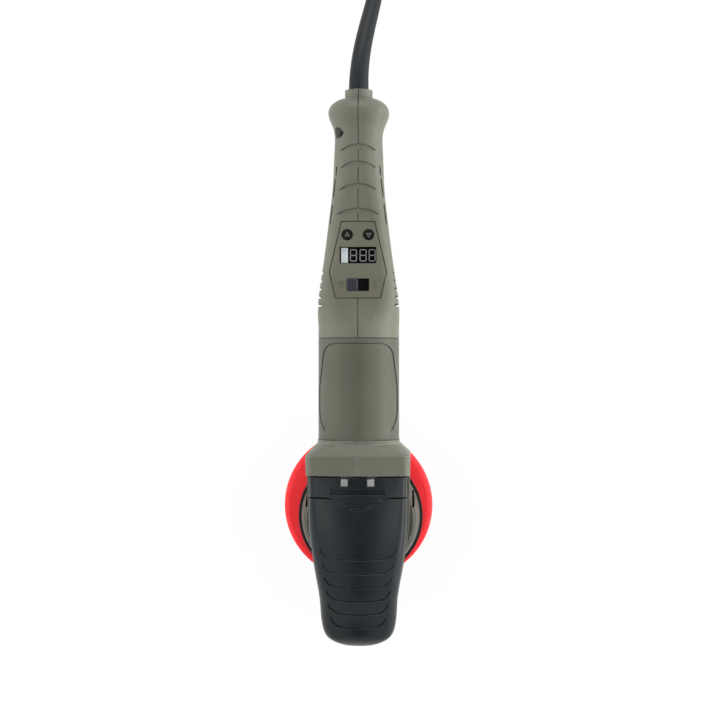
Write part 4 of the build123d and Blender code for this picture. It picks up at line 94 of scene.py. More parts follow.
class Sock:
    """Output of a shader node that takes part in Python arithmetic."""

    def __init__(self, shader: "Shader", socket: bpy.types.NodeSocket) -> None:
        """Wraps one output socket of a shader."""
        self.shader = shader
        self.socket = socket

    def _math(self, operation: str, first: "Value", second: "Value") -> "Sock":
        """Adds one Math node for an operation on two values."""
        return self.shader.node("ShaderNodeMath", {"operation": operation}, {0: first, 1: second})

    def __add__(self, other: "Value") -> "Sock":
        """Adds a value."""
        return self._math("ADD", self, other)

    def __radd__(self, other: "Value") -> "Sock":
        """Adds to a value."""
        return self._math("ADD", other, self)

    def __sub__(self, other: "Value") -> "Sock":
        """Takes a value away."""
        return self._math("SUBTRACT", self, other)

    def __rsub__(self, other: "Value") -> "Sock":
        """Is taken away from a value."""
        return self._math("SUBTRACT", other, self)

    def __mul__(self, other: "Value") -> "Sock":
        """Multiplies by a value."""
        return self._math("MULTIPLY", self, other)

    def __rmul__(self, other: "Value") -> "Sock":
        """Multiplies a value."""
        return self._math("MULTIPLY", other, self)

    def sine(self) -> "Sock":
        """Gives the sine."""
        return self._math("SINE", self, 0.0)

    def most(self, other: "Value") -> "Sock":
        """Gives the larger of two values."""
        return self._math("MAXIMUM", self, other)

    def ease(self, low: float, high: float) -> "Sock":
        """Eases from 0 at one level to 1 at another.

        Args:
            low: Level that gives 0.
            high: Level that gives 1.

        Returns:
            The eased value.
        """
        return self.shader.node(
            "ShaderNodeMapRange",
            {"interpolation_type": "SMOOTHSTEP"},
            {"Value": self, "From Min": low, "From Max": high},
        )


Value = Union[Sock, float]


class Shader:
    """One material under construction."""

    def __init__(self, name: str) -> None:
        """Starts a material with an empty node tree."""
        self.material = bpy.data.materials.new(name)
        self.material.use_nodes = True
        self.tree = self.material.node_tree
        self.tree.nodes.clear()

    def node(
        self,
        kind: str,
        settings: dict[str, Any] | None = None,
        sockets: dict[int | str, Any] | None = None,
        output: int | str = 0,
    ) -> Sock:
        """Adds a node of any kind.

        Args:
            kind: Blender's name for the node's type.
            settings: The node's own settings, set first.
            sockets: Values or links of its inputs, by name or place.
            output: Name or place of the output that is wanted.

        Returns:
            That output.
        """
        node = self.tree.nodes.new(kind)
        for name, value in (settings or {}).items():
            setattr(node, name, value)
        for key, value in (sockets or {}).items():
            if isinstance(value, Sock):
                self.tree.links.new(value.socket, node.inputs[key])
            else:
                node.inputs[key].default_value = value
        return Sock(self, node.outputs[output]) if len(node.outputs) else Sock(self, None)

    def coords(self, stretch: Point = (1.0, 1.0, 1.0), turn: Point = (0.0, 0.0, 0.0)) -> Sock:
        """Gives the piece's own coordinates in metres.

        Args:
            stretch: Scale along each axis.
            turn: Turn about each axis in radians.

        Returns:
            The coordinates.
        """
        place = self.node("ShaderNodeTexCoord", output="Object")
        if stretch == (1.0, 1.0, 1.0) and turn == (0.0, 0.0, 0.0):
            return place
        return self.node("ShaderNodeMapping", sockets={"Vector": place, "Scale": stretch, "Rotation": turn})

    def axis(self, place: Sock, letter: str) -> Sock:
        """Gives one coordinate of a place."""
        return self.node("ShaderNodeSeparateXYZ", sockets={0: place}, output=letter)

    def noise(self, place: Sock, size: float, detail: float = 2.0, roughness: float = 0.5) -> Sock:
        """Adds soft noise.

        Args:
            place: Coordinates in metres.
            size: Rough size of a patch in millimetres.
            detail: Octaves of finer noise.
            roughness: Strength of the finer octaves.

        Returns:
            The noise, from 0 to 1.
        """
        return self.node(
            "ShaderNodeTexNoise",
            sockets={"Vector": place, "Scale": 1000.0 / size, "Detail": detail, "Roughness": roughness},
        )

    def cells(self, place: Sock, size: float) -> Sock:
        """Gives the distance to the nearest of many scattered points, in cells of a size in millimetres."""
        return self.node("ShaderNodeTexVoronoi", sockets={"Vector": place, "Scale": 1000.0 / size})

    def mix(self, share: Value, first: Any, second: Any) -> Sock:
        """Mixes two colours.

        Args:
            share: How much of the second colour there is.
            first: First colour or socket.
            second: Second colour or socket.

        Returns:
            The mixed colour.
        """
        pair = [value if isinstance(value, Sock) else (*value, 1.0) for value in (first, second)]
        return self.node(
            "ShaderNodeMix",
            {"data_type": "RGBA"},
            {0: share, 6: pair[0], 7: pair[1]},
            output=2,
        )

    def rounded(self, radius: float) -> Sock:
        """Gives normals that run round sharp edges, over a radius in millimetres."""
        return self.node("ShaderNodeBevel", {"samples": 4}, {"Radius": radius * MM})

    def edges(self, normal: Sock, low: float = 0.02, high: float = 0.2) -> Sock:
        """Marks the edges where rounded normals leave the surface's own.

        Args:
            normal: Rounded normals.
            low: Least turn that counts.
            high: Turn that counts in full.

        Returns:
            The mask, 1 on an edge.
        """
        own = self.node("ShaderNodeNewGeometry", output="Normal")
        same = self.node(
            "ShaderNodeVectorMath", {"operation": "DOT_PRODUCT"}, {0: normal, 1: own}, output="Value"
        )
        return (1.0 - same).ease(low, high)

    def groove_shade_mask(self, reach: float) -> Sock:
        """Marks grooves and corners for painted shade, by ambient occlusion over a reach in millimetres."""
        open_share = self.node(
            "ShaderNodeAmbientOcclusion", {"samples": 6}, {"Distance": reach * MM}, output="AO"
        )
        return (1.0 - open_share).ease(0.5, 0.92)

    def bump(self, height: Sock, depth: float, strength: float = 1.0, normal: Sock | None = None) -> Sock:
        """Raises the surface by a height.

        Args:
            height: Height from 0 to 1.
            depth: Full height in millimetres.
            strength: Share of the effect.
            normal: Normals to start from.

        Returns:
            The new normals.
        """
        sockets: dict[int | str, Any] = {"Height": height, "Distance": depth * MM, "Strength": strength}
        if normal is not None:
            sockets["Normal"] = normal
        return self.node("ShaderNodeBump", sockets=sockets)

    def surface(self, sockets: dict[int | str, Any]) -> None:
        """Ends the material in a Principled surface with these inputs."""
        shown = self.node("ShaderNodeBsdfPrincipled", sockets=sockets)
        self.node("ShaderNodeOutputMaterial", sockets={"Surface": shown})


# Finishes


class Lay(Enum):
    """Direction of the axis that a turned piece was cut about."""

    SPINDLE = (60.0, 60.0, 5000.0)
    MOTOR = (60.0, 5000.0, 60.0)


@dataclass(frozen=True)
class Finish:
    """Look of one kind of material, in linear colour."""

    name: str
    colour: Colour

    def material(self) -> bpy.types.Material:
        """Makes the Blender material."""
        shader = Shader(self.name)
        self.paint(shader)
        return shader.material

    def paint(self, shader: Shader) -> None:
        """Fills the material's nodes."""
        raise NotImplementedError


@dataclass(frozen=True)
class MouldedPlastic(Finish):
    """Plastic from a spark-eroded mould, its edges painted pale for scuffs and for their highlight, with
    painted shade in its grooves.
    """

    shade: Colour = (0.1, 0.1, 0.1)
    # Colour and share of the pale edges: scuffs and a painted highlight.
    scuff_highlight_colour: Colour = (0.4, 0.4, 0.4)
    scuff_and_highlight: float = 0.35
    roughness: float = 0.46
    grain: float = 0.35
    relief: float = 0.04
    edge: float = 0.5
    specular: float = 0.3
    # Share of painted shade in grooves and corners.
    groove_shade: float = 0.8
    # Height in millimetres below which the colour is painted shadow-dark, as the shade of a recess.
    shaded_below: float | None = None

    def paint(self, shader: Shader) -> None:
        """Fills the material's nodes."""
        place = shader.coords()
        drift = shader.noise(place, 55.0, 3.0)
        grain = shader.noise(place, self.grain, 2.0, 0.6)
        scuff = shader.noise(place, 4.0, 4.0, 0.65)
        rounded = shader.rounded(self.edge)
        edge = shader.edges(rounded)
        tone = (drift * 0.65 + grain * 0.35).ease(0.34, 0.66)
        body = shader.mix(tone, self.colour, self.shade)
        # Edges are painted pale: scuffs, and a painted highlight along them.
        scuffed_and_highlit = edge * scuff.ease(0.3, 0.62) * self.scuff_and_highlight
        skin = shader.mix(scuffed_and_highlit, body, self.scuff_highlight_colour)
        # Painted shade: grooves and corners found by ambient occlusion go dark.
        skin = shader.mix(shader.groove_shade_mask(GROOVE_SHADE_REACH) * self.groove_shade, skin, SHADOW)
        # Painted shade: below a height the colour goes to shadow, as at the bottom of a recess.
        if self.shaded_below is not None:
            raised = shader.axis(place, "Z").ease(self.shaded_below * MM, (self.shaded_below + 0.3) * MM)
            skin = shader.mix(raised, SHADOW, skin)
        shader.surface(
            {
                "Base Color": skin,
                "Specular IOR Level": self.specular,
                "Roughness": self.roughness + (grain - 0.5) * 0.16 + (scuff - 0.5) * 0.1 - edge * 0.06,
                "Normal": shader.bump(grain, self.relief, 0.6, rounded),
            }
        )


@dataclass(frozen=True)
class SoftRubber(Finish):
    """Rubber or soft-touch cover, dusted in places; its edges are painted paler, as scuffs from hands and as
    a painted sheen, and its grooves hold painted shade.
    """

    # Colour and share of dusting in patches, which also paints a sheen along the edges.
    dust_and_sheen: Colour = (0.12, 0.12, 0.12)
    dusting_and_sheen: float = 0.2
    roughness: float = 0.56
    grain: float = 0.5
    relief: float = 0.03
    edge: float = 0.5
    specular: float = 0.2
    # Colour and share of the pale edges: scuffs and a painted sheen.
    scuff_highlight_colour: Colour = (0.1, 0.1, 0.1)
    scuff_and_highlight: float = 0.0
    # Share of painted shade in grooves and corners.
    groove_shade: float = 0.6

    def paint(self, shader: Shader) -> None:
        """Fills the material's nodes."""
        place = shader.coords()
        drift = shader.noise(place, 30.0, 4.0, 0.6)
        grain = shader.cells(place, self.grain)
        rounded = shader.rounded(self.edge)
        edge = shader.edges(rounded)
        # Dust in patches, and a painted sheen: the edges are painted paler.
        dust_and_edge_sheen = drift.ease(0.45, 0.72) * self.dusting_and_sheen + edge * self.dusting_and_sheen * 0.6
        dusted_and_sheened = shader.mix(dust_and_edge_sheen, self.colour, self.dust_and_sheen)
        # Edges are painted paler again: scuffs, and a painted sheen along them.
        scuffed_and_highlit = shader.mix(edge * drift.ease(0.25, 0.6) * self.scuff_and_highlight, dusted_and_sheened, self.scuff_highlight_colour)
        # Painted shade: grooves and corners found by ambient occlusion go dark.
        skin = shader.mix(shader.groove_shade_mask(GROOVE_SHADE_REACH) * self.groove_shade, scuffed_and_highlit, SHADOW)
        shader.surface(
            {
                "Base Color": skin,
                "Roughness": self.roughness + (drift - 0.5) * 0.22 + grain * 0.06,
                "Specular IOR Level": self.specular,
                "Normal": shader.bump(grain, self.relief, 0.5, rounded),
            }
        )


@dataclass(frozen=True)
class CastUrethane(Finish):
    """Coloured cast foam skin with flow marks, tiny pits and a painted highlight along its edges."""

    shade: Colour = (0.5, 0.01, 0.012)

    def paint(self, shader: Shader) -> None:
        """Fills the material's nodes."""
        place = shader.coords()
        flow = shader.noise(place, 22.0, 5.0, 0.6)
        pits = shader.cells(place, 0.9)
        fine = shader.noise(place, 0.4, 2.0)
        rounded = shader.rounded(0.8)
        edge = shader.edges(rounded)
        body = shader.mix(flow.ease(0.4, 0.75) * 0.35, self.colour, self.shade)
        # Painted highlight: the edges are painted paler red.
        pale = shader.mix(edge * 0.15, body, (0.95, 0.1, 0.1))
        shader.surface(
            {
                "Base Color": pale,
                "Specular IOR Level": 0.32,
                "Roughness": 0.42 + (flow - 0.5) * 0.2 + (fine - 0.5) * 0.1,
                "Normal": shader.bump(pits.ease(0.0, 0.35) * 0.6 + fine * 0.4, 0.05, 0.5, rounded),
            }
        )


@dataclass(frozen=True)
class Metal(Finish):
    """Bare metal with tool marks along its lay and a little tarnish."""

    tarnish: Colour = (0.3, 0.29, 0.27)
    roughness: float = 0.3
    lay: Lay = Lay.SPINDLE

    def paint(self, shader: Shader) -> None:
        """Fills the material's nodes."""
        place = shader.coords()
        marks = shader.noise(shader.coords(self.lay.value), 1000.0, 2.0, 0.6)
        stain = shader.noise(place, 9.0, 5.0, 0.65)
        rounded = shader.rounded(0.25)
        shader.surface(
            {
                "Base Color": shader.mix(stain.ease(0.5, 0.78) * 0.5, self.colour, self.tarnish),
                "Metallic": 1.0,
                "Roughness": self.roughness + (marks - 0.5) * 0.22 + stain.ease(0.5, 0.8) * 0.15,
                "Normal": shader.bump(marks, 0.01, 0.5, rounded),
            }
        )


@dataclass(frozen=True)
class CastMetal(Finish):
    """Die-cast or sand-cast metal with a grainy skin."""

    tarnish: Colour = (0.2, 0.2, 0.2)
    roughness: float = 0.5
    grain: float = 0.8

    def paint(self, shader: Shader) -> None:
        """Fills the material's nodes."""
        place = shader.coords()
        skin = shader.noise(place, self.grain, 4.0, 0.6)
        flow = shader.noise(place, 14.0, 3.0)
        shader.surface(
            {
                "Base Color": shader.mix(flow.ease(0.4, 0.75) * 0.45, self.colour, self.tarnish),
                "Metallic": 0.9,
                "Roughness": self.roughness + (skin - 0.5) * 0.25,
                "Normal": shader.bump(skin, 0.12, 0.6, shader.rounded(0.4)),
            }
        )


@dataclass(frozen=True)
class Stacked(Finish):
    """Steel sheets stacked along the motor, or wire wound beside wire."""

    gap: Colour = (0.03, 0.03, 0.03)
    pitch: float = 0.65
    roughness: float = 0.4
    slant: float = 0.0

    def paint(self, shader: Shader) -> None:
        """Fills the material's nodes."""
        place = shader.coords(turn=(self.slant, 0.0, self.slant))
        wave = (shader.axis(place, "Y") * (2 * math.pi / (self.pitch * MM))).sine() * 0.5 + 0.5
        stain = shader.noise(place, 6.0, 4.0)
        shader.surface(
            {
                "Base Color": shader.mix((1.0 - wave).ease(0.6, 1.0) * 0.8, self.colour, self.gap),
                "Metallic": 1.0,
                "Roughness": self.roughness + (stain - 0.5) * 0.25,
                "Normal": shader.bump(wave, 0.12, 0.6),
            }
        )


@dataclass(frozen=True)
class SmokedLens(Finish):
    """Clear tinted window with a few fine wipes on it."""

    cover: float = 0.3

    def paint(self, shader: Shader) -> None:
        """Fills the material's nodes."""
        wipes = shader.noise(shader.coords((1.0, 14.0, 1.0)), 9.0, 4.0, 0.6)
        shader.surface(
            {
                "Base Color": shader.mix(wipes * 0.2, self.colour, (0.1, 0.1, 0.11)),
                "Roughness": 0.05 + wipes.ease(0.5, 0.8) * 0.12,
                "Specular IOR Level": 0.12,
                "Alpha": self.cover + wipes.ease(0.55, 0.8) * 0.05,
            }
        )


@dataclass(frozen=True)
class PaintedGlow(Finish):
    """Milky display segment, its colour painted as faint emitted light though no lamp lights it."""

    painted_glow: float = 0.08

    def paint(self, shader: Shader) -> None:
        """Fills the material's nodes."""
        haze = shader.noise(shader.coords(), 1.5, 3.0)
        tint = shader.mix(haze * 0.35, self.colour, tuple(0.55 * level for level in self.colour))
        shader.surface(
            {
                "Base Color": tint,
                "Roughness": 0.4 + haze * 0.15,
                # Painted light: the segment emits its own colour though it is unlit.
                "Emission Color": tint,
                "Emission Strength": self.painted_glow,
            }
        )


@dataclass(frozen=True)
class SolderMask(Finish):
    """Lacquered circuit board with copper tracks under the lacquer."""

    track: Colour = (0.06, 0.28, 0.12)

    def paint(self, shader: Shader) -> None:
        """Fills the material's nodes."""
        place = shader.coords()
        rows = (shader.axis(place, "X") * (2 * math.pi / (1.6 * MM))).sine().ease(0.2, 0.4)
        blocks = shader.noise(shader.coords((1.0, 0.35, 1.0)), 3.0, 0.0).ease(0.5, 0.52)
        tracks = rows * blocks
        shader.surface(
            {
                "Base Color": shader.mix(tracks, self.colour, self.track),
                "Roughness": 0.28 + tracks * 0.08,
                "Normal": shader.bump(tracks, 0.04, 0.6),
            }
        )


@dataclass(frozen=True)
class Woven(Finish):
    """Woven tape or napped loop cloth."""

    light: Colour = (0.1, 0.1, 0.1)
    pitch: float = 0.9
    fuzz: float = 0.5

    def paint(self, shader: Shader) -> None:
        """Fills the material's nodes."""
        place = shader.coords()
        turns = 2 * math.pi / (self.pitch * MM)
        across = (shader.axis(place, "X") * turns).sine()
        along = (shader.axis(place, "Y") * turns).sine()
        weave = (across * along) * 0.5 + 0.5
        nap = shader.noise(place, 0.35, 3.0, 0.7)
        cloth = weave * (1.0 - self.fuzz) + nap * self.fuzz
        shader.surface(
            {
                "Base Color": shader.mix(cloth.ease(0.3, 0.8), self.colour, self.light),
                "Roughness": 0.82 + (nap - 0.5) * 0.2,
                "Sheen Weight": 0.3,
                "Sheen Roughness": 0.4,
                "Normal": shader.bump(cloth, 0.18, 0.8),
            }
        )


# Colour of painted shade: grooves, corners and the switch's recess go toward it.
SHADOW = srgb(9, 9, 10)
# Reach of the ambient occlusion that paints shade into grooves, in millimetres.
GROOVE_SHADE_REACH = 1.6
STEEL = srgb(204, 204, 206)
FINISHES: dict[str, Finish] = {
    "olive_plastic": MouldedPlastic(
        "olive_plastic", srgb(104, 106, 93), srgb(96, 98, 84), srgb(162, 164, 152), scuff_and_highlight=0.45, specular=0.4
    ),
    "panel_plastic": MouldedPlastic(
        "panel_plastic", srgb(105, 105, 92), srgb(97, 97, 83), srgb(156, 156, 144), scuff_and_highlight=0.35, grain=0.25
    ),
    # The covers' edges are painted strongly pale: painted highlights on their ribs and rims, and scuffs.
    "black_grip": SoftRubber(
        "black_grip",
        srgb(19, 25, 28),
        srgb(34, 41, 44),
        0.3,
        0.3,
        grain=0.4,
        relief=0.02,
        specular=0.32,
        scuff_highlight_colour=srgb(104, 112, 116),
        scuff_and_highlight=0.9,
        groove_shade=0.75,
    ),
    "tab_plastic": MouldedPlastic(
        "tab_plastic", srgb(150, 151, 150), srgb(132, 133, 132), srgb(215, 215, 214), roughness=0.4
    ),
    "black_rubber": SoftRubber("black_rubber", srgb(22, 23, 24), srgb(44, 44, 44), 0.3, 0.62),
    "cord_rubber": SoftRubber(
        "cord_rubber", srgb(22, 26, 29), srgb(44, 48, 52), 0.25, 0.45, grain=0.3, specular=0.28
    ),
    "red_urethane": CastUrethane("red_urethane", srgb(250, 43, 51), srgb(238, 32, 40)),
    "hook_fabric": Woven("hook_fabric", srgb(38, 38, 40), srgb(86, 86, 88), 1.2, 0.7),
    "black_nylon": MouldedPlastic(
        "black_nylon", srgb(44, 45, 47), srgb(36, 37, 38), srgb(84, 84, 84), roughness=0.5, relief=0.06
    ),
    "steel": Metal("steel", STEEL),
    "black_steel": Metal("black_steel", srgb(62, 62, 64), srgb(44, 44, 46), 0.42),
    "bearing_steel": Metal("bearing_steel", srgb(214, 214, 216), roughness=0.2),
    "iron": CastMetal("iron", srgb(120, 120, 122), srgb(86, 78, 70), 0.6),
    "cast_aluminium": CastMetal("cast_aluminium", srgb(190, 191, 192), srgb(150, 151, 152), 0.48),
    "bronze": Metal("bronze", srgb(190, 150, 92), srgb(120, 84, 48), 0.4),
    "copper": Stacked("copper", srgb(206, 130, 86), srgb(70, 34, 20), 0.9, 0.32, slant=0.5),
    "brass": Metal("brass", srgb(212, 186, 118), srgb(150, 120, 70), 0.3),
    "lamination": Stacked("lamination", srgb(158, 160, 162)),
    "carbon": MouldedPlastic("carbon", srgb(58, 58, 60), srgb(44, 44, 45), srgb(96, 96, 98), roughness=0.42),
    "red_fibre": MouldedPlastic(
        "red_fibre", srgb(150, 84, 56), srgb(124, 66, 44), srgb(178, 120, 90), roughness=0.55, grain=0.6
    ),
    "lens": SmokedLens("lens", srgb(10, 10, 12), 0.16),
    "display_black": MouldedPlastic(
        "display_black",
        srgb(12, 12, 14),
        srgb(9, 9, 11),
        srgb(30, 30, 33),
        roughness=0.4,
        relief=0.01,
        specular=0.1,
    ),
    "board_green": SolderMask("board_green", srgb(32, 94, 56)),
    # The switch is painted shadow-dark below 103 mm: painted shade at the bottom of its recess.
    "switch_black": MouldedPlastic(
        "switch_black",
        srgb(66, 68, 75),
        srgb(56, 58, 64),
        srgb(100, 102, 110),
        roughness=0.42,
        specular=0.12,
        shaded_below=103.0,
    ),
    "button_rubber": SoftRubber(
        "button_rubber", srgb(20, 20, 20), srgb(34, 34, 33), 0.3, 0.55, grain=0.3, specular=0.1
    ),
    "controller_grey": MouldedPlastic(
        "controller_grey", srgb(124, 125, 128), srgb(110, 111, 114), srgb(160, 160, 162), roughness=0.6
    ),
    "strap_fabric": Woven("strap_fabric", srgb(26, 26, 27), srgb(70, 70, 72), 1.0, 0.35),
    "plug_metal": Metal("plug_metal", srgb(212, 208, 196), srgb(150, 146, 132), 0.22, Lay.MOTOR),
}
# Unlit digits and the bar beside them, painted as faintly glowing.
SEGMENT_GREY = PaintedGlow("segment_grey", srgb(178, 176, 178), 0.08)
SEGMENT_PALE = PaintedGlow("segment_pale", srgb(226, 233, 237), 0.3)
MARK_GREY = SoftRubber("mark_grey", srgb(92, 92, 86), srgb(108, 108, 101), 0.3, grain=0.3)
PANEL_MARK = MouldedPlastic("panel_mark", srgb(92, 92, 80), srgb(84, 84, 72), srgb(140, 140, 128), grain=0.25)
# Motor housing: a darker copy of the olive plastic; the darker colour is painted shade.
MOTOR_OLIVE = MouldedPlastic(
    "motor_olive", srgb(86, 88, 75), srgb(79, 81, 68), srgb(140, 142, 130), scuff_and_highlight=0.3, specular=0.32, groove_shade=0.4
)
# Head shell: its edges are painted strongly pale, a painted highlight along the rims beside the covers, with
# scuffs.
HEAD_OLIVE = MouldedPlastic(
    "head_olive", srgb(101, 103, 90), srgb(93, 95, 81), srgb(196, 197, 187), scuff_and_highlight=0.6, edge=1.1, specular=0.45
)
# Shroud: a darker copy of the olive plastic, painted shade under the head, its outer edge painted pale as a
# highlight.
SHROUD_OLIVE = MouldedPlastic(
    "shroud_olive", srgb(82, 81, 74), srgb(72, 71, 64), srgb(170, 168, 160), scuff_and_highlight=0.8, edge=0.9, specular=0.15
)
# Near-black finish of the strips that paint shade into the shroud's slots.
VENT_SHADE = MouldedPlastic(
    "vent_shade_black", srgb(16, 16, 17), srgb(12, 12, 13), srgb(30, 30, 31), roughness=0.7, specular=0.1
)
MOTOR_TURNED = ("armature_shaft", "pinion", "motor_bearings_inner", "motor_bearings_outer")


# Modelling bench


class Pick(Enum):
    """What a selection in edit mode is made of."""

    VERTS = "VERT"
    EDGES = "EDGE"
    FACES = "FACE"


class Bench:
    """Bench on which each new piece is modelled by hand operators."""

    @staticmethod
    def clear() -> None:
        """Leaves edit mode and deselects everything."""
        if bpy.context.object is not None and bpy.context.object.mode != "OBJECT":
            bpy.ops.object.mode_set(mode="OBJECT")
        bpy.ops.object.select_all(action="DESELECT")

    @classmethod
    def take(cls, *pieces: bpy.types.Object) -> bpy.types.Object:
        """Selects pieces and makes the first one active.

        Args:
            pieces: Pieces to select.

        Returns:
            The active piece.
        """
        cls.clear()
        for piece in pieces:
            piece.select_set(True)
        bpy.context.view_layer.objects.active = pieces[0]
        return pieces[0]

    @classmethod
    def box(cls, name: str, low: Point, high: Point) -> bpy.types.Object:
        """Adds a cube between two corners in millimetres.

        Args:
            name: Name of the piece.
            low: Lowest corner.
            high: Highest corner.

        Returns:
            The new piece, its size applied.
        """
        cls.clear()
        centre = [(a + b) / 2 * MM for a, b in zip(low, high)]
        bpy.ops.mesh.primitive_cube_add(size=1.0, location=centre)
        piece = bpy.context.object
        piece.name = name
        piece.scale = [(b - a) * MM for a, b in zip(low, high)]
        bpy.ops.object.transform_apply(location=True, rotation=True, scale=True)
        return piece

    @classmethod
    def disc(cls, name: str, centre: Point, radius: float, height: float, sides: int) -> bpy.types.Object:
        """Adds an upright cylinder, in millimetres.

        Args:
            name: Name of the piece.
            centre: Middle of its lower face.
            radius: Its radius.
            height: Its height.
            sides: Number of sides.

        Returns:
            The new piece.
        """
        cls.clear()
        middle = (centre[0] * MM, centre[1] * MM, (centre[2] + height / 2) * MM)
        bpy.ops.mesh.primitive_cylinder_add(
            vertices=sides, radius=radius * MM, depth=height * MM, location=middle
        )
        piece = bpy.context.object
        piece.name = name
        bpy.ops.object.transform_apply(location=True, rotation=True, scale=True)
        return piece

    @classmethod
    @contextmanager
    def editing(cls, piece: bpy.types.Object, kind: Pick) -> Iterator[None]:
        """Opens a piece in edit mode with nothing selected."""
        cls.take(piece)
        bpy.ops.object.mode_set(mode="EDIT")
        bpy.ops.mesh.select_mode(type=kind.value)
        bpy.ops.mesh.select_all(action="DESELECT")
        yield
        bpy.ops.object.mode_set(mode="OBJECT")

    @staticmethod
    def pick(piece: bpy.types.Object, kind: Pick, test: Callable[[Any], bool]) -> None:
        """Selects what passes a test.

        Args:
            piece: Piece in edit mode.
            kind: What to select.
            test: Says whether one vertex, edge or face is wanted.
        """
        work = bmesh.from_edit_mesh(piece.data)
        parts = {Pick.VERTS: work.verts, Pick.EDGES: work.edges, Pick.FACES: work.faces}[kind]
        for part in parts:
            part.select_set(test(part))
        work.select_flush_mode()
        bmesh.update_edit_mesh(piece.data)

    @classmethod
    def join(cls, name: str, pieces: Sequence[bpy.types.Object]) -> bpy.types.Object:
        """Joins pieces into one.

        Args:
            name: Name of the result.
            pieces: Pieces to join.

        Returns:
            The joined piece.
        """
        whole = cls.take(*pieces)
        if len(pieces) > 1:
            bpy.ops.object.join()
        whole.name = name
        return whole

    @classmethod
    def modify(cls, piece: bpy.types.Object, kind: str, **settings: Any) -> None:
        """Adds a modifier and applies it.

        Args:
            piece: Piece to change.
            kind: Blender's name for the modifier.
            settings: The modifier's settings.
        """
        cls.take(piece)
        modifier = piece.modifiers.new(kind.lower(), kind)
        for name, value in settings.items():
            setattr(modifier, name, value)
        bpy.ops.object.modifier_apply(modifier=modifier.name)

    @classmethod
    def done(
        cls, piece: bpy.types.Object, body: str, slot: str, finish: Finish | None = None, angle: float = 35.0
    ) -> bpy.types.Object:
        """Smooths, colours and hangs a finished piece on its body.

        Args:
            piece: The piece.
            body: Body that it rides on.
            slot: Material slot of the record.
            finish: Its finish, where that isn't the slot's own.
            angle: Edges flatter than this many degrees are smoothed.

        Returns:
            The piece.
        """
        cls.take(piece)
        if piece.type == "MESH":
            bpy.ops.object.shade_smooth_by_angle(angle=math.radians(angle))
        piece.data.materials.clear()
        piece.data.materials.append(Palette.of(finish or FINISHES[slot]))
        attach(piece, body)
        LOG.info("piece %s rides on %s", piece.name, body)
        return piece


class Palette:
    """Materials made so far, one for each finish."""

    made: dict[str, bpy.types.Material] = {}

    @classmethod
    def of(cls, finish: Finish) -> bpy.types.Material:
        """Gives a finish's material, made once."""
        if finish.name not in cls.made:
            cls.made[finish.name] = finish.material()
        return cls.made[finish.name]


# Sub-assemblies


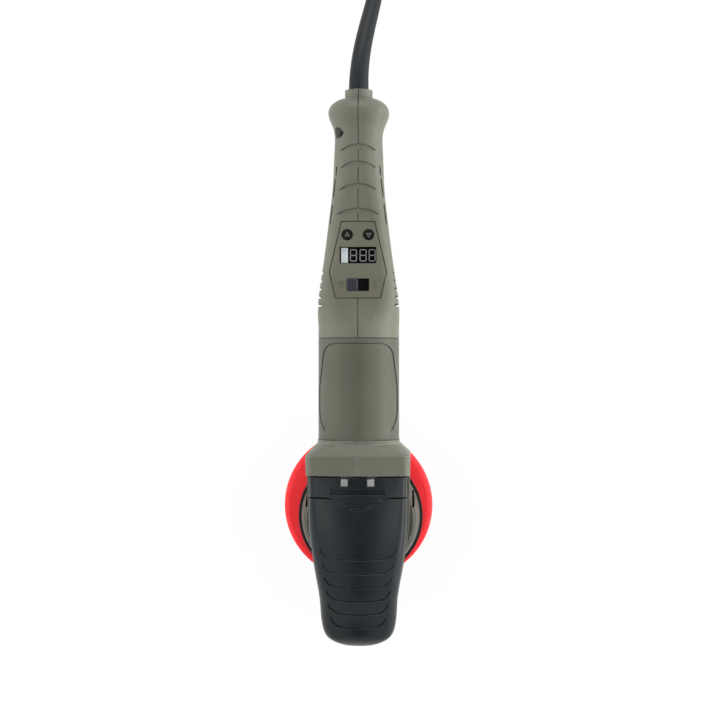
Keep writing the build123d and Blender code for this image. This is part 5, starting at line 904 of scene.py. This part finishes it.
@dataclass
class PowerCord:
    """Mains lead from its boot over the floor into a tied coil, with the plug beside it. Millimetres."""

    diameter: float = 8.5
    real_length: float = 3983.0
    lead: tuple[Point, ...] = (
        (12.5, 426.0, 55.0),
        (17.977, 452.288, 44.047),
        (23.5, 477.0, 26.0),
        (32.0, 497.0, 11.5),
        (45.10, 516.39, 5.15),
        (57.39, 534.64, 5.15),
    )
    tail: tuple[Point, ...] = (
        (76.66, 577.52, 14.30),
        (82.14, 598.83, 14.30),
        (83.0, 630.0, 9.5),
        (72.0, 654.0, 5.2),
        (52.0, 673.0, 4.8),
        (27.0, 685.0, 5.6),
        (2.0, 690.0, 9.02),
        (-20.0, 690.0, 9.02),
    )
    centre: tuple[float, float] = (-4.0, 588.0)
    start_angle: float = -35.0
    inner_radius: float = 37.0
    pitch: float = 9.15
    turns: float = 4.78
    low: float = 5.15
    dip: float = 1.5
    per_turn: int = 24
    tie_x: tuple[float, float] = (-90.08, -34.2)
    tie_y: tuple[float, float] = (581.0, 595.0)
    tie_top: float = 19.65
    tie_thickness: float = 0.9
    tie_corner: float = 3.5
    tie_rounding: float = 0.2
    lap_start: float = 9.0
    lap_length: float = 30.0
    lap_inset: float = 0.3
    lap_sink: float = 0.1
    lap_corner: float = 5.0
    plug_front_x: float = -64.0
    plug_y: float = 690.0
    plug_z: float = 9.02
    rib_count: int = 5
    rib_start: float = 6.0
    rib_pitch: float = 2.6
    rib_half_width: float = 9.5
    rib_narrowing: float = 0.5
    rib_half_thickness: float = 0.65
    rib_base: tuple[float, float] = (8.2, 0.06)
    rib_top: tuple[float, float] = (9.5, 0.09)
    rib_rounding: float = 0.45

    def coil(self) -> list[Point]:
        """Gives the control points of the coil's turns.

        Returns:
            Points that spiral in on the floor, climb a layer and spiral out again.
        """
        swell = 1 / math.cos(math.pi / self.per_turn)
        steps = round(self.turns * self.per_turn)
        climb_steps = self.per_turn // 2
        sweep = 2 * math.pi * self.turns
        reach = self.pitch * self.turns
        rows: list[tuple[float, float, float]] = []
        for step in range(steps + 1):
            share = step / steps
            rows.append((share * sweep, self.inner_radius + reach * (1 - share), self.low))
        for step in range(1, climb_steps):
            share = step / climb_steps
            rise = self.pitch * share * share * (3 - 2 * share)
            radius = self.inner_radius - self.dip * math.sin(math.pi * share)
            rows.append((sweep + math.pi * share, radius, self.low + rise))
        for step in range(steps + 1):
            share = step / steps
            radius = self.inner_radius + reach * share
            rows.append((sweep + math.pi + share * sweep, radius, self.low + self.pitch))
        first = math.radians(self.start_angle)
        return [
            (
                self.centre[0] + swell * radius * math.cos(first + angle),
                self.centre[1] + swell * radius * math.sin(first + angle),
                height,
            )
            for angle, radius, height in rows
        ]

    def build(self) -> None:
        """Builds the cord, its tie and the plug's ribs."""
        tie = self.build_tie()
        ribs = self.build_plug_ribs()
        flex = self.build_flex()

    def build_flex(self) -> bpy.types.Object:
        """Builds the lead as one smooth spline.

        Returns:
            The cord.
        """
        points = [*self.lead, *self.coil(), *self.tail]
        curve = bpy.data.curves.new("power_cord", "CURVE")
        curve.dimensions = "3D"
        spline = curve.splines.new("NURBS")
        spline.points.add(len(points) - 1)
        for knot, point in zip(spline.points, points):
            knot.co = (*[step * MM for step in point], 1.0)
        spline.order_u = 3
        spline.use_endpoint_u = True
        curve.resolution_u = 4
        curve.bevel_depth = self.diameter / 2 * MM
        curve.bevel_resolution = 4
        curve.use_fill_caps = True
        flex = bpy.data.objects.new("power_cord", curve)
        bpy.context.scene.collection.objects.link(flex)
        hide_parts("cord_lead", "cord_coil", "cord_tail")
        return Bench.done(flex, "housing", "cord_rubber")

    def build_tie(self) -> bpy.types.Object:
        """Builds the tape that holds the coil: a loop with its end lapped over the top.

        Returns:
            The tie.
        """
        near, far = zip(self.tie_x, self.tie_y)
        loop = Bench.box("cord_tape", (*near, 0.0), (*far, self.tie_top))
        with Bench.editing(loop, Pick.FACES):
            Bench.pick(loop, Pick.FACES, lambda face: abs(face.normal.y) > 0.9)
            bpy.ops.mesh.delete(type="ONLY_FACE")
        with Bench.editing(loop, Pick.EDGES):
            Bench.pick(
                loop,
                Pick.EDGES,
                lambda edge: abs((edge.verts[0].co - edge.verts[1].co).normalized().y) > 0.9,
            )
            bpy.ops.mesh.bevel(offset=self.tie_corner * MM, segments=6, affect="EDGES")
        Bench.modify(loop, "SOLIDIFY", thickness=self.tie_thickness * MM, offset=-1.0)
        lap_x = self.tie_x[0] + self.lap_start
        lap_end = lap_x + self.lap_length
        lap = Bench.box(
            "tape_end",
            (lap_x, self.tie_y[0] + self.lap_inset, self.tie_top - self.lap_sink),
            (lap_end, self.tie_y[1] - self.lap_inset, self.tie_top + self.tie_thickness),
        )
        with Bench.editing(lap, Pick.EDGES):
            Bench.pick(
                lap,
                Pick.EDGES,
                lambda edge: all(vert.co.x > (lap_end - self.lap_corner) * MM for vert in edge.verts)
                and abs((edge.verts[0].co - edge.verts[1].co).normalized().z) > 0.9,
            )
            bpy.ops.mesh.bevel(offset=self.lap_corner * MM, segments=6, affect="EDGES")
        tie = Bench.join("cord_tape", [loop, lap])
        Bench.modify(tie, "BEVEL", width=self.tie_rounding * MM, segments=2, limit_method="ANGLE")
        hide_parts("cord_tie")
        return Bench.done(tie, "housing", "strap_fabric")

    def build_plug_ribs(self) -> bpy.types.Object:
        """Builds the finger ribs moulded on the upper face of the plug, lower and shorter towards the cord.

        Returns:
            The ribs.
        """
        ribs = []
        (base, base_fall), (top, top_fall) = self.rib_base, self.rib_top
        middle = self.plug_z + (base + top) / 2
        for row in range(self.rib_count):
            x = self.plug_front_x + self.rib_start + row * self.rib_pitch
            half = self.rib_half_width - self.rib_narrowing * row
            rib = Bench.box(
                f"plug_rib_{row}",
                (x - self.rib_half_thickness, self.plug_y - half, self.plug_z + base - base_fall * row),
                (x + self.rib_half_thickness, self.plug_y + half, self.plug_z + top - top_fall * row),
            )
            with Bench.editing(rib, Pick.EDGES):
                Bench.pick(
                    rib,
                    Pick.EDGES,
                    lambda edge: all(vert.co.z > middle * MM for vert in edge.verts),
                )
                bpy.ops.mesh.bevel(offset=self.rib_rounding * MM, segments=3, affect="EDGES")
            ribs.append(rib)
        whole = Bench.join("plug_ribs", ribs)
        return Bench.done(whole, "housing", "cord_rubber")


@dataclass
class HookPad:
    """Hook disc under the backing plate. Millimetres."""

    centre: tuple[float, float] = (-2.318, 7.133)
    radius: float = 61.0
    thickness: float = 2.2
    hook_height: float = 0.7
    hook_width: float = 1.0
    hook_taper: float = 0.45
    hook_sink: float = 0.05
    pitch: float = 2.0
    rim_margin: float = 1.2
    rim_rounding: float = 0.4
    sides: int = 128

    def build(self) -> None:
        """Builds the disc and its field of tiny hooks."""
        disc = Bench.disc(
            "hook_disc",
            (*self.centre, self.hook_height),
            self.radius,
            self.thickness - self.hook_height,
            self.sides,
        )
        with Bench.editing(disc, Pick.EDGES):
            Bench.pick(
                disc,
                Pick.EDGES,
                lambda edge: abs(edge.verts[0].co.z - edge.verts[1].co.z) < 1e-6,
            )
            bpy.ops.mesh.bevel(offset=self.rim_rounding * MM, segments=3, affect="EDGES")
        count = 2 * int(self.radius / self.pitch) + 1
        first = -self.pitch * (count // 2)
        half = self.hook_width / 2
        corner = (self.centre[0] + first, self.centre[1] + first)
        hooks = Bench.box(
            "hook_field",
            (corner[0] - half, corner[1] - half, 0.0),
            (corner[0] + half, corner[1] + half, self.hook_height + self.hook_sink),
        )
        with Bench.editing(hooks, Pick.FACES):
            Bench.pick(hooks, Pick.FACES, lambda face: face.normal.z > 0.9)
            bpy.ops.transform.resize(value=(self.hook_taper, self.hook_taper, 1.0))
            bpy.ops.mesh.delete(type="ONLY_FACE")
        for direction in ((self.pitch * MM, 0.0, 0.0), (0.0, self.pitch * MM, 0.0)):
            Bench.modify(
                hooks,
                "ARRAY",
                count=count,
                use_relative_offset=False,
                use_constant_offset=True,
                constant_offset_displace=direction,
            )
        limit = (self.radius - self.rim_margin) * MM

        def outside(vert: bmesh.types.BMVert) -> bool:
            """Says whether a vertex belongs to a hook off the disc."""
            step = self.pitch * MM
            x = round((vert.co.x - self.centre[0] * MM) / step) * step
            y = round((vert.co.y - self.centre[1] * MM) / step) * step
            return math.hypot(x, y) > limit

        with Bench.editing(hooks, Pick.VERTS):
            Bench.pick(hooks, Pick.VERTS, outside)
            bpy.ops.mesh.delete(type="VERT")
        pad = Bench.join("hook_pad", [disc, hooks])
        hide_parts("hook_face")
        Bench.done(pad, "plate", "hook_fabric")


@dataclass
class VentShadeStrips:
    """Black strips set into the two slots of the shroud, just under its surface: painted shade that stands
    for the dark inside of the slots. Millimetres.
    """

    slot_x: tuple[float, float] = (42.5, 44.5)
    slot_y: tuple[float, float] = (9.5, 21.7)
    slot_floor: float = 30.0
    outside: tuple[tuple[float, float], ...] = ((43.5, 49.8), (45.9, 46.8), (49.4, 25.8))
    inset: float = 1.0
    thickness: float = 0.8
    steps: int = 14

    def build(self) -> None:
        """Builds both strips as one piece."""
        # The strips are painted shade: they make the slots read dark.
        shade_strips = Bench.join("vent_shade_strips", [self.build_strip(-1.0), self.build_strip(1.0)])
        Bench.done(shade_strips, "housing", "black_nylon", VENT_SHADE)

    def height(self, x: float, y: float) -> float:
        """Gives the strip's height at a place, a little inside the shroud's outer surface."""
        radius = math.hypot(x, y) + self.inset
        level = self.outside[0][1]
        for (near, high), (far, low) in zip(self.outside, self.outside[1:]):
            share = min(max((radius - near) / (far - near), 0.0), 1.0)
            level += (low - high) * share
        return max(level, self.slot_floor + self.thickness)

    def build_strip(self, side: float) -> bpy.types.Object:
        """Builds the strip in one slot.

        Args:
            side: -1 for the left slot, 1 for the right one.

        Returns:
            The strip.
        """
        first, last = self.slot_y
        rows = [first + (last - first) * step / self.steps for step in range(self.steps + 1)]
        places = [(side * x, y, self.height(x, y)) for y in rows for x in self.slot_x]
        mesh = bpy.data.meshes.new("vent_shade_strip")
        mesh.from_pydata(
            [[step * MM for step in place] for place in places],
            [],
            [(2 * row, 2 * row + 1, 2 * row + 3, 2 * row + 2) for row in range(self.steps)],
        )
        strip = bpy.data.objects.new("vent_shade_strip", mesh)
        bpy.context.scene.collection.objects.link(strip)
        with Bench.editing(strip, Pick.FACES):
            bpy.ops.mesh.select_all(action="SELECT")
            down = (0.0, 0.0, -self.thickness * MM)
            bpy.ops.mesh.extrude_region_move(TRANSFORM_OT_translate={"value": down})
            bpy.ops.mesh.select_all(action="SELECT")
            bpy.ops.mesh.normals_make_consistent(inside=False)
        return strip


class Stroke(Enum):
    """Place and direction of a display segment, in halves of the digit's width and height."""

    TOP = (0, 2, True)
    MIDDLE = (0, 0, True)
    BOTTOM = (0, -2, True)
    UPPER_LEFT = (-1, 1, False)
    UPPER_RIGHT = (1, 1, False)
    LOWER_LEFT = (-1, -1, False)
    LOWER_RIGHT = (1, -1, False)


@dataclass
class ControlPanel:
    """Display, buttons' arrows and the switch's marks. Millimetres."""

    display_y: float = 211.1
    display_face: float = 101.7
    digit_x: tuple[float, ...] = (-3.6, 3.9, 11.0)
    digit_width: float = 4.7
    digit_height: float = 8.8
    stroke: float = 0.66
    stroke_gap: float = 0.12
    stroke_rise: float = 0.12
    stroke_point: float = 0.47
    bar_x: tuple[float, float] = (-13.2, -7.9)
    bar_height: float = 11.6
    bar_rise: float = 0.25
    bar_frame: float = 0.3
    bar_step: float = 0.1
    button_y: float = 226.9
    button_x: float = 8.3
    button_top: float = 105.5
    arrow_radius: float = 2.6
    arrow_line: float = 0.85
    arrow_sink: float = 0.05
    arrow_rise: float = 0.2
    arrow_rounding: float = 0.05
    switch_y: float = 188.1
    panel_top: float = 105.06
    mark_x: float = 13.4
    ring_radius: float = 1.7
    ring_wire: float = 0.32
    ring_stretch: Point = (0.95, 1.7, 0.9)
    on_bar: Point = (0.9, 6.4, 0.6)
    on_bar_rounding: float = 0.2

    def build(self) -> None:
        """Builds all that is printed, raised, or painted as faintly glowing on the panel."""
        self.build_digits()
        self.build_bar()
        self.build_arrow("speed_down_button", -self.button_x, 90.0)
        self.build_arrow("speed_up_button", self.button_x, -90.0)
        self.build_marks()

    def build_digits(self) -> None:
        """Builds three unlit digits of seven segments."""
        pieces = []
        for x in self.digit_x:
            for side, level, lying in (stroke.value for stroke in Stroke):
                middle_x = x + side * self.digit_width / 2
                middle_y = self.display_y + level * self.digit_height / 4
                reach = (self.digit_width if lying else self.digit_height / 2) / 2 - self.stroke_gap
                half = self.stroke / 2
                span_x, span_y = (reach, half) if lying else (half, reach)
                piece = Bench.box(
                    "segment",
                    (middle_x - span_x, middle_y - span_y, self.display_face),
                    (middle_x + span_x, middle_y + span_y, self.display_face + self.stroke_rise),
                )
                with Bench.editing(piece, Pick.EDGES):
                    Bench.pick(
                        piece,
                        Pick.EDGES,
                        lambda edge: abs((edge.verts[0].co - edge.verts[1].co).normalized().z) > 0.9,
                    )
                    bpy.ops.mesh.bevel(
                        offset=self.stroke_point * self.stroke * MM, segments=1, affect="EDGES"
                    )
                pieces.append(piece)
        digits = Bench.join("display_digits", pieces)
        # Their finish paints a faint emitted light on the unlit digits.
        Bench.done(digits, "housing", "display_black", SEGMENT_GREY)

    def build_bar(self) -> None:
        """Builds the pale bar at the display's left."""
        half = self.bar_height / 2
        bar = Bench.box(
            "display_bar",
            (self.bar_x[0], self.display_y - half, self.display_face),
            (self.bar_x[1], self.display_y + half, self.display_face + self.bar_rise),
        )
        with Bench.editing(bar, Pick.FACES):
            Bench.pick(bar, Pick.FACES, lambda face: face.normal.z > 0.9)
            bpy.ops.mesh.inset(thickness=self.bar_frame * MM, depth=self.bar_step * MM)
        # Its finish paints a faint emitted light on the bar, though nothing lights it.
        Bench.done(bar, "housing", "display_black", SEGMENT_PALE)

    def build_arrow(self, body: str, x: float, heading: float) -> None:
        """Builds the arrowhead on a speed button.

        Args:
            body: The button's body.
            x: Its place across the tool.
            heading: Direction of the arrow in degrees from +X.
        """
        Bench.clear()
        bpy.ops.mesh.primitive_circle_add(
            vertices=3,
            radius=self.arrow_radius * MM,
            fill_type="NGON",
            location=(x * MM, self.button_y * MM, (self.button_top - self.arrow_sink) * MM),
            rotation=(0.0, 0.0, math.radians(heading - 90.0)),
        )
        arrow = bpy.context.object
        arrow.name = f"{body}_arrow"
        bpy.ops.object.transform_apply(location=True, rotation=True, scale=True)
        with Bench.editing(arrow, Pick.FACES):
            bpy.ops.mesh.select_all(action="SELECT")
            bpy.ops.mesh.inset(thickness=self.arrow_line * MM)
            bpy.ops.mesh.delete(type="FACE")
        Bench.modify(arrow, "SOLIDIFY", thickness=self.arrow_rise * MM, offset=1.0)
        with Bench.editing(arrow, Pick.FACES):
            bpy.ops.mesh.select_all(action="SELECT")
            bpy.ops.mesh.normals_make_consistent(inside=False)
        Bench.modify(arrow, "BEVEL", width=self.arrow_rounding * MM, segments=2, limit_method="ANGLE")
        Bench.done(arrow, body, "button_rubber", MARK_GREY)

    def build_marks(self) -> None:
        """Builds the raised off ring and on bar beside the switch."""
        Bench.clear()
        bpy.ops.mesh.primitive_torus_add(
            major_radius=self.ring_radius * MM,
            minor_radius=self.ring_wire * MM,
            major_segments=40,
            minor_segments=10,
            location=(-self.mark_x * MM, self.switch_y * MM, self.panel_top * MM),
        )
        ring = bpy.context.object
        ring.scale = self.ring_stretch
        bpy.ops.object.transform_apply(location=True, rotation=True, scale=True)
        place = (self.mark_x, self.switch_y, self.panel_top)
        bar = Bench.box(
            "on_bar",
            tuple(middle - size / 2 for middle, size in zip(place, self.on_bar)),
            tuple(middle + size / 2 for middle, size in zip(place, self.on_bar)),
        )
        with Bench.editing(bar, Pick.EDGES):
            bpy.ops.mesh.select_all(action="SELECT")
            bpy.ops.mesh.bevel(offset=self.on_bar_rounding * MM, segments=3, affect="EDGES")
        marks = Bench.join("switch_marks", [ring, bar])
        Bench.done(marks, "housing", "panel_plastic", PANEL_MARK)


@dataclass
class Machine:
    """CAD nodes that show as they are, with better finishes."""

    parts: list[dict[str, str]] = field(default_factory=list)

    def dress(self) -> None:
        """Gives every CAD node the finish of its slot."""
        turned = Metal("steel_along_motor", STEEL, lay=Lay.MOTOR)
        # Motor housing, head shell and shroud take olive copies with painted shade and painted highlights.
        special: dict[str, Finish] = {
            "motor_housing": MOTOR_OLIVE,
            "head_shell": HEAD_OLIVE,
            "shroud": SHROUD_OLIVE,
            **dict.fromkeys(MOTOR_TURNED, turned),
        }
        for part in self.parts:
            finish = special.get(part["node"], FINISHES[part["material_slot"]])
            node = bpy.data.objects[part["node"]]
            for slot in node.material_slots:
                slot.material = Palette.of(finish)
        LOG.info("dressed %d CAD nodes", len(self.parts))


@dataclass(frozen=True)
class Softbox:
    """Soft light aimed at the tool, in metres and watts. Glossy surfaces show it where it is mirrored."""

    name: str
    place: Point
    size: tuple[float, float]
    power: float
    mirrored: bool = True

    def hang(self, target: Point) -> None:
        """Hangs the light and turns it to a target."""
        data = bpy.data.lights.new(self.name, "AREA")
        data.shape = "RECTANGLE"
        data.size, data.size_y = self.size
        data.energy = self.power
        lamp = bpy.data.objects.new(self.name, data)
        lamp.location = self.place
        lamp.rotation_euler = (Vector(target) - Vector(self.place)).to_track_quat("-Z", "Y").to_euler()
        lamp.visible_camera = False
        lamp.visible_glossy = self.mirrored
        bpy.context.scene.collection.objects.link(lamp)


SOFTBOXES = (
    Softbox("softbox_left", (-0.95, 0.12, 0.36), (1.3, 0.55), 10.5, mirrored=False),
    Softbox("softbox_right", (0.95, 0.12, 0.26), (1.3, 0.55), 10.0, mirrored=False),
    Softbox("softbox_right_edge", (0.92, 0.12, 0.22), (1.3, 0.45), 5.0),
    Softbox("softbox_rear", (0.0, 1.35, 0.7), (1.0, 0.5), 6.5),
    Softbox("softbox_upper_left", (-0.95, 0.1, 1.9), (1.8, 0.5), 4.8),
    Softbox("softbox_upper_right", (0.95, 0.1, 1.9), (1.8, 0.5), 7.0),
)


@dataclass
class Studio:
    """Floor, lights, world and camera. Metres."""

    eye: Point = (0.0314, 0.1324, 1.2)
    tilt: float = 1.7
    field_per_metre: float = 0.50504
    floor_colour: Colour = (0.97, 0.97, 0.97)
    floor_glow: float = 0.945
    floor_size: float = 14.0
    floor_drop: float = 0.0004
    target: Point = (0.0, 0.12, 0.1)
    sky: float = 0.28
    card_place: Point = (0.03, -0.3, 2.0)
    card_size: tuple[float, float] = (1.1, 4.4)
    card_colour: Colour = (0.04, 0.04, 0.04)

    def build(self) -> None:
        """Builds the studio round the tool."""
        bpy.context.scene.view_settings.view_transform = "Standard"
        self.build_camera()
        self.build_floor()
        self.build_sky()
        for softbox in SOFTBOXES:
            softbox.hang(self.target)
        self.build_card()

    def build_camera(self) -> None:
        """Sets the camera over the tool, as in the photograph."""
        lens = bpy.data.cameras.new("camera")
        lens.sensor_width = 36.0
        lens.lens = lens.sensor_width / self.field_per_metre
        camera = bpy.data.objects.new("camera", lens)
        camera.location = self.eye
        camera.rotation_euler = (0.0, math.radians(self.tilt), 0.0)
        bpy.context.scene.collection.objects.link(camera)
        bpy.context.scene.camera = camera

    @staticmethod
    def seen(shader: Shader) -> Sock:
        """Says whether a ray is one that shows the background.

        Args:
            shader: Material or world under construction.

        Returns:
            1 for camera, glossy and transmission rays.
        """
        rays = [
            shader.node("ShaderNodeLightPath", output=name)
            for name in ("Is Camera Ray", "Is Glossy Ray", "Is Transmission Ray")
        ]
        return rays[0].most(rays[1]).most(rays[2])

    def build_floor(self) -> None:
        """Lays a pale floor that keeps the tool's shadow."""
        Bench.clear()
        bpy.ops.mesh.primitive_plane_add(size=self.floor_size, location=(0.0, 0.0, -self.floor_drop))
        floor = bpy.context.object
        floor.name = "studio_floor"
        shader = Shader("studio_floor")
        paper = shader.node("ShaderNodeBsdfDiffuse", sockets={"Color": (*self.floor_colour, 1.0)})
        white = shader.node("ShaderNodeEmission", sockets={"Color": WHITE, "Strength": 1.0})
        mixed = shader.node(
            "ShaderNodeMixShader", sockets={0: self.seen(shader) * self.floor_glow, 1: paper, 2: white}
        )
        shader.node("ShaderNodeOutputMaterial", sockets={"Surface": mixed})
        floor.data.materials.append(shader.material)

    def build_card(self) -> None:
        """Hangs a dark card over the camera, seen only in reflections, so that flat tops keep their depth."""
        Bench.clear()
        bpy.ops.mesh.primitive_plane_add(size=1.0, location=self.card_place)
        card = bpy.context.object
        card.name = "overhead_card"
        card.scale = (*self.card_size, 1.0)
        bpy.ops.object.transform_apply(location=True, rotation=True, scale=True)
        shader = Shader("overhead_card")
        felt = shader.node("ShaderNodeBsdfDiffuse", sockets={"Color": (*self.card_colour, 1.0)})
        shader.node("ShaderNodeOutputMaterial", sockets={"Surface": felt})
        card.data.materials.append(shader.material)
        card.visible_camera = card.visible_diffuse = card.visible_shadow = False

    def build_sky(self) -> None:
        """Fills the room with even light, white where it is seen."""
        world = bpy.data.worlds.new("studio_sky")
        bpy.context.scene.world = world
        world.use_nodes = True
        world.node_tree.nodes.clear()
        shader = Shader.__new__(Shader)
        shader.material, shader.tree = world, world.node_tree
        level = self.seen(shader) * (1.0 - self.sky) + self.sky
        light = shader.node("ShaderNodeBackground", sockets={"Color": WHITE, "Strength": level})
        shader.node("ShaderNodeOutputWorld", sockets={"Surface": light})


def main() -> None:
    """Builds the scene in order."""
    logging.basicConfig(level=logging.INFO, format="%(name)s: %(message)s")
    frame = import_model()
    Studio().build()
    Machine(frame["record"]["subparts"]).dress()
    PowerCord().build()
    HookPad().build()
    VentShadeStrips().build()
    ControlPanel().build()
    Bench.clear()


if __name__ == "__main__":
    main()
